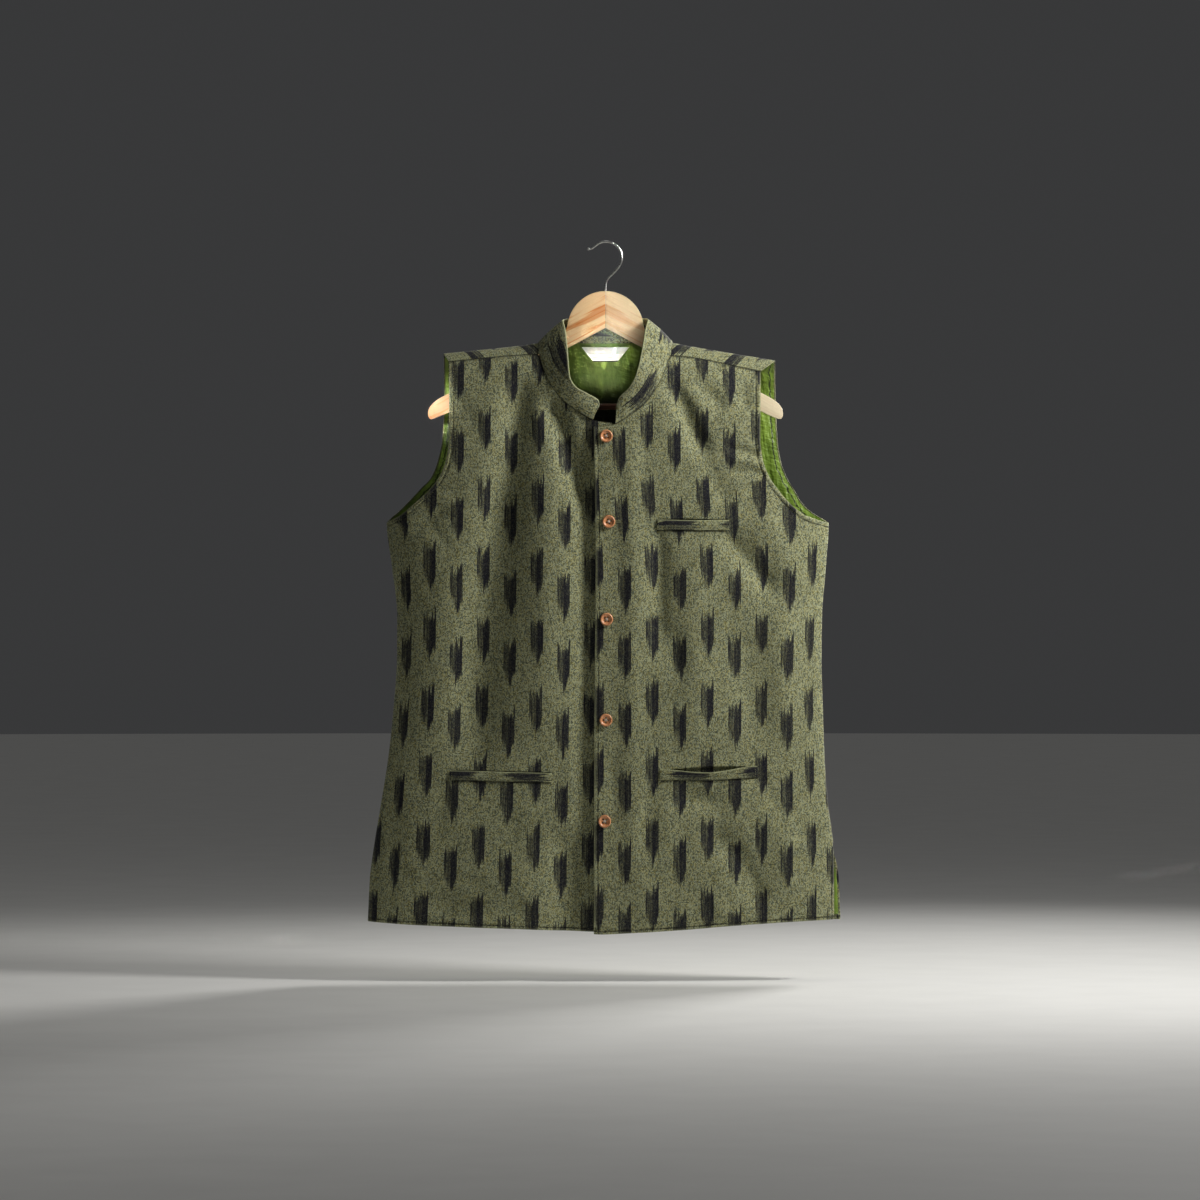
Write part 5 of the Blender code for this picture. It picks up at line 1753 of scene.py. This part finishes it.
def add_rod(bm, radius, length, segments, place):
    """Adds a round rod to a mesh, upright before it is placed."""
    bmesh.ops.create_cone(bm, cap_ends=True, segments=segments, radius1=radius * MM,
                          radius2=radius * MM, depth=length * MM, matrix=place)


def hole_cutter():
    """Four upright rods, joined in one mesh, that cut the holes."""
    bm = bmesh.new()
    reach = HOLE_REACH * MM
    for x in (-reach, reach):
        for y in (-reach, reach):
            place = Matrix.Translation((x, y, 0.0))
            add_rod(bm, HOLE_RADIUS, CUTTER_LENGTH, 20, place)
    return in_scene("holes", mesh_of("holes", bm))


def button_mesh():
    """One button, its back at z = 0, facing +Z."""
    bm = bmesh.new()
    points = [bm.verts.new((ring.radius * MM, 0.0, ring.height * MM)) for ring in BUTTON_PROFILE]
    for start, end in zip(points, points[1:]):
        bm.edges.new((start, end))
    blank = in_scene("blank", mesh_of("profile", bm))
    turned = blank.modifiers.new("Turned", "SCREW")
    turned.steps = 64
    turned.render_steps = 64
    turned.use_merge_vertices = True
    turned.merge_threshold = TOUCHING
    tool = hole_cutter()
    drilled = blank.modifiers.new("Holes", "BOOLEAN")
    drilled.object = tool
    mesh = applied(blank)
    bpy.data.objects.remove(blank)
    bpy.data.objects.remove(tool)
    return mesh


# %% Sew the buttons on


def button_place(node, tilt):
    """Where a button's back sits, its face turned to the front."""
    low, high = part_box(node)
    middle = (low + high) / 2
    turn = Matrix.Rotation(math.radians(90), 4, "X") @ Matrix.Rotation(tilt, 4, "Z")
    return Matrix.Translation((middle.x, high.y, middle.z)) @ turn


def button_thread(place):
    """Thread crossed through the four holes, on the button's sunken face."""
    bm = bmesh.new()
    reach = HOLE_REACH * MM
    for number, (a, b) in enumerate(((1, 1), (1, -1))):
        for shift in (-THREAD_RADIUS, THREAD_RADIUS):
            side = Vector((-b, a, 0.0)).normalized() * shift * MM
            lift = Vector((0.0, 0.0, (THREAD_HEIGHT + THREAD_STEP * number) * MM))
            start = Vector((-a * reach, -b * reach, 0.0)) + side + lift
            end = Vector((a * reach, b * reach, 0.0)) + side + lift
            lay_stitch(bm, start, end, Vector((0.0, 0.0, 1.0)), THREAD_RADIUS * MM)
    bmesh.ops.transform(bm, matrix=place, verts=bm.verts)
    return bm


turned_button = button_mesh()
TILTS = (0.25, -0.4, 0.1, 0.7, -0.15)
for number, tilt in enumerate(TILTS, 1):
    node = "button_" + str(number)
    place = button_place(node, tilt)
    mesh = turned_button.copy()
    mesh.transform(place)
    shown = add_piece("coconut_" + node, mesh, coconut_shell)
    shown.data.set_sharp_from_angle(angle=math.radians(38))
    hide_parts(node)
    add_thread("thread_" + node, button_thread(place), pale_thread)
print("button faces:", len(turned_button.polygons))

# %% Buttonholes
HOLE_ENDS = (-9.0, 14.0)
Thread = namedtuple("Thread", "low high proud radius")
EDGE_THREAD = Thread(0.25, 1.55, 0.12, 0.36)
BAR_THREAD = Thread(-1.7, 1.7, 0.2, 0.34)
EDGE_THREAD_PITCH = 0.62
BAR_HALF_WIDTH = 0.3


def upright_stitch(bm, x, z, thread, side=1.0):
    """Adds a stitch that runs up or down from a height on the wearer's left front."""
    z = z + side * np.array((thread.low, thread.high))
    y = front_depth("left", np.full(2, x), z) - thread.proud
    start, end = [Vector((x, y[i], z[i])) * MM for i in range(2)]
    lay_stitch(bm, start, end, Vector(FRONT_OUT), thread.radius * MM)


def buttonholes():
    """Closely worked stitches round each slit, square to it, with a bar at its ends."""
    bm = bmesh.new()
    for number in range(1, len(TILTS) + 1):
        low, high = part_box("button_" + str(number))
        middle = (low + high) / 2 / MM
        start, end = [middle.x + reach for reach in HOLE_ENDS]
        for x in np.arange(start, end, EDGE_THREAD_PITCH):
            for side in (-1.0, 1.0):
                upright_stitch(bm, x, middle.z, EDGE_THREAD, side)
        for x in (start, end):
            for shift in (-BAR_HALF_WIDTH, BAR_HALF_WIDTH):
                upright_stitch(bm, x + shift, middle.z, BAR_THREAD)
    return add_thread("buttonholes", bm, olive_thread)


worked = buttonholes()
print("buttonhole faces:", len(worked.data.polygons))

# %% [markdown]
# ## The label
# A woven label hangs from the back of the neck. It is left bare. Its own fine ribs and a
# thin dark line along its lower edge are all that it shows.

# %% Label
LABEL_HALVES = (15.0, 30.0)
LABEL_WALL = 0.8
LABEL_GAP = 0.35
LABEL_WAVE = 0.15
RIB_PITCH = 0.7


def label_finish():
    """White ribbed tape with a dark line along its lower edge."""
    finish = Finish("label_tape")
    u, v = finish.map("cloth")
    rib = (v * (math.tau / RIB_PITCH)).sine() * 0.5 + 0.5
    yarn = finish.cloud(finish.place(u * 0.8, v * 3.0), 1.0, 2.0)
    base = finish.mix(yarn, colour(244, 243, 238), colour(255, 255, 252))
    base = finish.mix(1.0 - v.step(1.4, 1.9), base, colour(40, 40, 38))
    finish.feed(Base_Color=base, Roughness=0.62 + (yarn - 0.5) * 0.2)
    finish.feed(Sheen_Weight=0.2)
    finish.bump(rib * 0.6 + yarn * 0.4, 0.10)
    return finish.material


def lining_depth(x, z):
    """The depth of the back lining's inner face at one place."""
    near = np.hypot(lined_back_points[:, :, 0] - x, lined_back_points[:, :, 2] - z)
    row, column = np.unravel_index(np.argmin(near), near.shape)
    return lined_back_points[row, column, 1] - LINING_WALL


def add_label():
    """Lays the label on the back lining, a little off it."""
    low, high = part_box("label")
    top = high.z / MM
    drop = (high.z - low.z) / MM
    up = np.linspace(0.0, 1.0, 13)[:, None]
    across = np.linspace(1.0, -1.0, 41)[None, :]
    half = blend(LABEL_HALVES[0], LABEL_HALVES[1], up)
    x = half * across
    z = top - drop * (1.0 - up) + 0.0 * across
    y = np.full(x.shape, low.y / MM)
    for index in np.ndindex(x.shape):
        y[index] = min(lining_depth(x[index] + step, z[index]) for step in (-4.0, 0.0, 4.0))
    y = y - LABEL_GAP - LABEL_WAVE * arch(up) * np.cos(across * 5.0)
    points = np.stack((x, y, z), axis=2)
    mesh = sheet_mesh("bare_label", points, x, z - z[0, 0])
    piece = add_piece("bare_label", mesh, label_finish())
    add_wall(piece, LABEL_WALL, rounding=0.25)
    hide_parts("label")
    return piece, points


label, label_points = add_label()
print("label faces:", len(label.data.polygons))

# %% [markdown]
# ## The hanger
# The hanger is two flat pine arms that meet at the middle. Each arm is a flat outline given
# a thickness, as a joiner would saw it from a board, and its edges are rounded with a Bevel.
# The grain runs along each arm and meets in a mitre at the crown. A formula of the
# distance from the arm's axis draws the growth rings. Each tip passes to a painted tone:
# a paler painted highlight on the left arm's tip and a darker painted shade on the right's.

# %% Pine
ARM_SLOPE = 0.52
TIP_START = 150.0
TIP_END = 200.0


def pine(name, light, late, strength, tip):
    """Oiled pine: bands of late wood of a given strength between two tones."""
    finish = Finish(name)
    x, y, z = finish.here()
    lean = 1.0 / math.hypot(1.0, ARM_SLOPE)
    away = (z + abs(x) * ARM_SLOPE) * lean
    along = (abs(x) - z * ARM_SLOPE) * lean
    bands = finish.cloud(finish.place(along * 0.010, away * 0.15 + y * 0.02, 5.0), 1.0, 3.0)
    rings = ((away * 1.1 + bands * 9.0 + y * 0.12).sine() * 0.5 + 0.5) ** 3.0
    fine = finish.cloud(finish.place(along * 0.05, away * 1.8, y * 1.2), 1.0, 3.0)
    late_wood = bands.step(0.50, 0.60) * (0.75 + rings * 0.25) + rings * 0.06
    base = finish.mix(late_wood * strength, colour(*light), colour(*late))
    # Each tip passes to a painted tone: a paler painted highlight on the left arm, a darker painted
    # shade on the right.
    base = finish.mix(abs(x).step(TIP_START, TIP_END) * 0.7, base, colour(*tip))
    base = finish.tint(base, 0.90 + fine * 0.2)
    finish.feed(Base_Color=base, Roughness=0.42 + fine * 0.2)
    finish.feed(Coat_Weight=0.15, Coat_Roughness=0.25)
    finish.bump(fine * 0.6 + rings * 0.4, 0.10)
    return finish.material


pine_right = pine("pine_striped", (234, 200, 150), (208, 126, 52), 1.0, (204, 138, 88))
pine_left = pine("pine_pale", (240, 214, 172), (214, 150, 86), 0.6, (250, 236, 206))
print("pine:", len(pine_left.node_tree.nodes), "nodes")

# %% Arms of the hanger
HANGER_THICKNESS = 11.0
HANGER_SPLIT = 0.3
CROWN_RADIUS = 48.0
CROWN_CENTRE = -112.0
ARM_TOP_AT_NECK = -134.0
BAR_RADIUS = 4.0
BAR_HEIGHT = -209.0
BAR_HALF_LENGTH = 202.0
WIRE_RADIUS = 1.45
SHANK_END = -84.0
BORE_CLEARANCE = 0.3
ARM_ROUNDING = 1.6


def rounded(points, times=2):
    """Cuts the corners of a run of points, keeping its two ends."""
    for _ in range(times):
        cut = [points[0]]
        for (ax, az), (bx, bz) in zip(points, points[1:]):
            cut.append((blend(ax, bx, 0.25), blend(az, bz, 0.25)))
            cut.append((blend(ax, bx, 0.75), blend(az, bz, 0.75)))
        points = cut + [points[-1]]
    return points


def arm_outline():
    """One arm seen from the front, from the crown out to the tip and back."""
    start = HANGER_SPLIT / 2
    crown = []
    for degrees in range(90, 9, -4):
        angle = math.radians(degrees)
        crown.append((max(start, CROWN_RADIUS * math.cos(angle)),
                      CROWN_CENTRE + CROWN_RADIUS * math.sin(angle)))
    top = [(x, ARM_TOP_AT_NECK - ARM_SLOPE * (x - NECK_HALF_WIDTH)) for x in (56.0, 190.0)]
    tip = [(205.0, -196.5), (215.0, -202.8), (221.0, -209.5), (223.2, -217.0),
           (222.0, -223.5), (218.0, -225.3), (195.0, -215.2)]
    underside = [(150.0, -190.5), (80.0, -152.6), (start, -110.0)]
    shoulder = rounded([crown[-1], (48.6, -110.0), (51.0, -115.0), top[0]])
    return crown + shoulder[1:] + rounded([top[1]] + tip + [underside[0]]) + underside[1:]


# %% Saw and bore the arms


def bore(name, start, end, radius):
    """A rod that cuts a bore."""
    run = Vector(end) - Vector(start)
    bm = bmesh.new()
    turn = Vector((0, 0, 1)).rotation_difference(run).to_matrix().to_4x4()
    place = Matrix.Translation((Vector(start) + Vector(end)) / 2 * MM) @ turn
    add_rod(bm, radius, run.length, 28, place)
    return in_scene(name, mesh_of(name, bm))


def add_arm(side, material, tools):
    """Saws an arm from its outline, rounds its edges and bores it."""
    sign = 1.0 if side == "left" else -1.0
    curve = bpy.data.curves.new("outline", "CURVE")
    curve.dimensions = "2D"
    curve.fill_mode = "BOTH"
    curve.extrude = HANGER_THICKNESS / 2 * MM
    outline = arm_outline()
    spline = curve.splines.new("POLY")
    spline.points.add(len(outline) - 1)
    for point, (x, z) in zip(spline.points, outline):
        point.co = (sign * x * MM, z * MM, 0.0, 1.0)
    spline.use_cyclic_u = True
    board = in_scene("board", curve)
    board.rotation_euler = (math.radians(90), 0.0, 0.0)
    mesh = applied(board)
    mesh.transform(board.matrix_world)
    bpy.data.objects.remove(board)
    bm = bmesh.new()
    bm.from_mesh(mesh)
    bmesh.ops.remove_doubles(bm, verts=bm.verts, dist=TOUCHING)
    bm.to_mesh(mesh)
    bm.free()
    piece = add_piece("pine_arm_" + side, mesh, material)
    round_edges(piece, ARM_ROUNDING, 4)
    for tool in tools:
        hole = piece.modifiers.new("Bore", "BOOLEAN")
        hole.object = tool
    worked = applied(piece)
    piece.modifiers.clear()
    piece.data = worked
    piece.data.materials.clear()
    piece.data.materials.append(material)
    piece.data.shade_smooth()
    piece.data.set_sharp_from_angle(angle=math.radians(35))
    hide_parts("hanger_half_" + side)
    return piece


tools = [
    bore("hook_bore", (0, 0, SHANK_END - 1), (0, 0, -50), WIRE_RADIUS + BORE_CLEARANCE),
    bore("bar_bore", (-BAR_HALF_LENGTH - BORE_CLEARANCE, 0, BAR_HEIGHT),
         (BAR_HALF_LENGTH + BORE_CLEARANCE, 0, BAR_HEIGHT), BAR_RADIUS + BORE_CLEARANCE),
]
arms = [add_arm("right", pine_right, tools), add_arm("left", pine_left, tools)]
for tool in tools:
    bpy.data.objects.remove(tool)
print("arm faces:", [len(arm.data.polygons) for arm in arms])

# %% [markdown]
# ## Hook and bar
# The hook is a bright steel wire, so it is a curve with a round bevel: a curve needs only its
# centreline. The trouser bar between the arms is a stained dowel, whose grain runs along it.

# %% Steel wire
HOOK_RADIUS = 20.0
HOOK_CENTRE = (0.5, -21.45)
BALL_RADIUS = WIRE_RADIUS * 1.25


def steel():
    """Bright drawn steel."""
    finish = Finish("bright_steel")
    x, y, z = finish.here()
    drawn = finish.cloud(finish.place(x * 0.5, y * 0.5, z * 0.5), 1.0, 3.0)
    base = finish.mix(drawn, colour(190, 190, 188), colour(226, 226, 224))
    finish.feed(Base_Color=base, Metallic=1.0, Roughness=0.20 + drawn * 0.18)
    finish.bump(drawn, 0.03)
    return finish.material


def hook_route():
    """The hook's centreline: a short flared tip, a round bow, and a straight shank."""
    cx, cz = HOOK_CENTRE
    route = [(-21.5, -10.6), (-19.0, -10.3), (-16.6, -9.6)]
    for degrees in range(135, -41, -5):
        angle = math.radians(degrees)
        route.append((cx + HOOK_RADIUS * math.cos(angle), cz + HOOK_RADIUS * math.sin(angle)))
    neck = [(11.5, -39.3), (6.0, -44.5), (2.2, -48.6), (0.5, -52.5), (0.0, -57.0), (0.0, -64.0)]
    return route + rounded([route[-1]] + neck)[1:] + [(0.0, SHANK_END)]


def add_hook():
    """Bends the wire along its route, with a small ball on its tip."""
    curve = bpy.data.curves.new("wire", "CURVE")
    curve.dimensions = "3D"
    curve.bevel_depth = WIRE_RADIUS * MM
    curve.bevel_resolution = 5
    curve.use_fill_caps = True
    route = hook_route()
    spline = curve.splines.new("POLY")
    spline.points.add(len(route) - 1)
    for point, (x, z) in zip(spline.points, route):
        point.co = (x * MM, 0.0, z * MM, 1.0)
    wire = in_scene("wire", curve)
    mesh = applied(wire)
    bpy.data.objects.remove(wire)
    bm = bmesh.new()
    bm.from_mesh(mesh)
    bmesh.ops.remove_doubles(bm, verts=bm.verts, dist=TOUCHING)
    tip = Vector((route[0][0] * MM, 0.0, route[0][1] * MM))
    bmesh.ops.create_uvsphere(bm, u_segments=20, v_segments=12, radius=BALL_RADIUS * MM,
                              matrix=Matrix.Translation(tip))
    bm.to_mesh(mesh)
    bm.free()
    piece = add_piece("steel_hook", mesh, steel())
    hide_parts("hanger_hook")
    return piece


hook = add_hook()
print("hook faces:", len(hook.data.polygons))

# %% Stained bar
def stained():
    """A dowel under a dark stain."""
    finish = Finish("stained_dowel")
    x, y, z = finish.here()
    fibre = finish.cloud(finish.place(x * 0.04, y * 1.1, z * 1.1), 1.0, 3.0)
    base = finish.mix(fibre.step(0.3, 0.7), colour(92, 52, 34), colour(150, 94, 66))
    finish.feed(Base_Color=base, Roughness=0.42 + fibre * 0.15)
    finish.bump(fibre, 0.12)
    return finish.material


def add_bar():
    """Lays the trouser bar between the arms, its ends in their bores."""
    bm = bmesh.new()
    turn = Matrix.Translation((0.0, 0.0, BAR_HEIGHT * MM)) @ Matrix.Rotation(math.pi / 2, 4, "Y")
    add_rod(bm, BAR_RADIUS, 2 * BAR_HALF_LENGTH, 36, turn)
    piece = add_piece("dowel_bar", mesh_of("dowel", bm), stained())
    piece.data.set_sharp_from_angle(angle=math.radians(40))
    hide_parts("hanger_bar")
    return piece


bar = add_bar()
print("bar faces:", len(bar.data.polygons))

# %% [markdown]
# ## The cut of each sheet
# A tailor cuts each piece flat before it is sewn. The sizes here are those of the flat
# cloth that shows, and the areas are measured on the panels themselves.

WELT_CUT_EXTRA = 3.0
WELT_CUT_WIDTH = 18.0
declare_sheet(front_right, 335.0, 735.0, right_points)
declare_sheet(front_left, 330.0, 735.0, left_points)
declare_sheet(back, 620.0, 760.0, whole_back[:main_rows])
declare_sheet(lined_right, 260.0, 715.0, lined_right_points)
declare_sheet(lined_left, 260.0, 715.0, lined_left_points)
declare_sheet(lined_back, 610.0, 735.0, lined_back_points)
declare_sheet(collar, 480.0, 50.0, collar_points)
for welt, (piece, points) in zip(WELTS, welts):
    declare_sheet(piece, welt.x2 - welt.x1 + WELT_CUT_EXTRA, WELT_CUT_WIDTH, points)
declare_sheet(label, 61.0, 19.0, label_points)

# %% [markdown]
# ## The floor
# The jacket hangs clear of a plain pale floor. It is only a stage and no part of the
# jacket. It is round and wide, so that its edge lies far off in every view.

# %% Floor
FLOOR_HEIGHT = -0.93
FLOOR_RADIUS = 14.0


def add_floor():
    """Lays the painted floor, as a stage only."""
    bm = bmesh.new()
    bmesh.ops.create_circle(bm, cap_ends=True, segments=96, radius=FLOOR_RADIUS)
    mesh = mesh_of("floor", bm)
    floor = in_scene("floor", mesh)
    floor.location = (0.0, 0.0, FLOOR_HEIGHT)
    finish = Finish("floor_paint")
    x, y, z = finish.here()
    speckle = finish.cloud(finish.place(x * 0.01, y * 0.01), 1.0, 4.0)
    base = finish.mix(speckle, colour(214, 214, 212), colour(226, 226, 224))
    finish.feed(Base_Color=base, Roughness=0.7)
    mesh.materials.append(finish.material)


add_floor()
print("the floor lies", FLOOR_HEIGHT, "m below the rail")
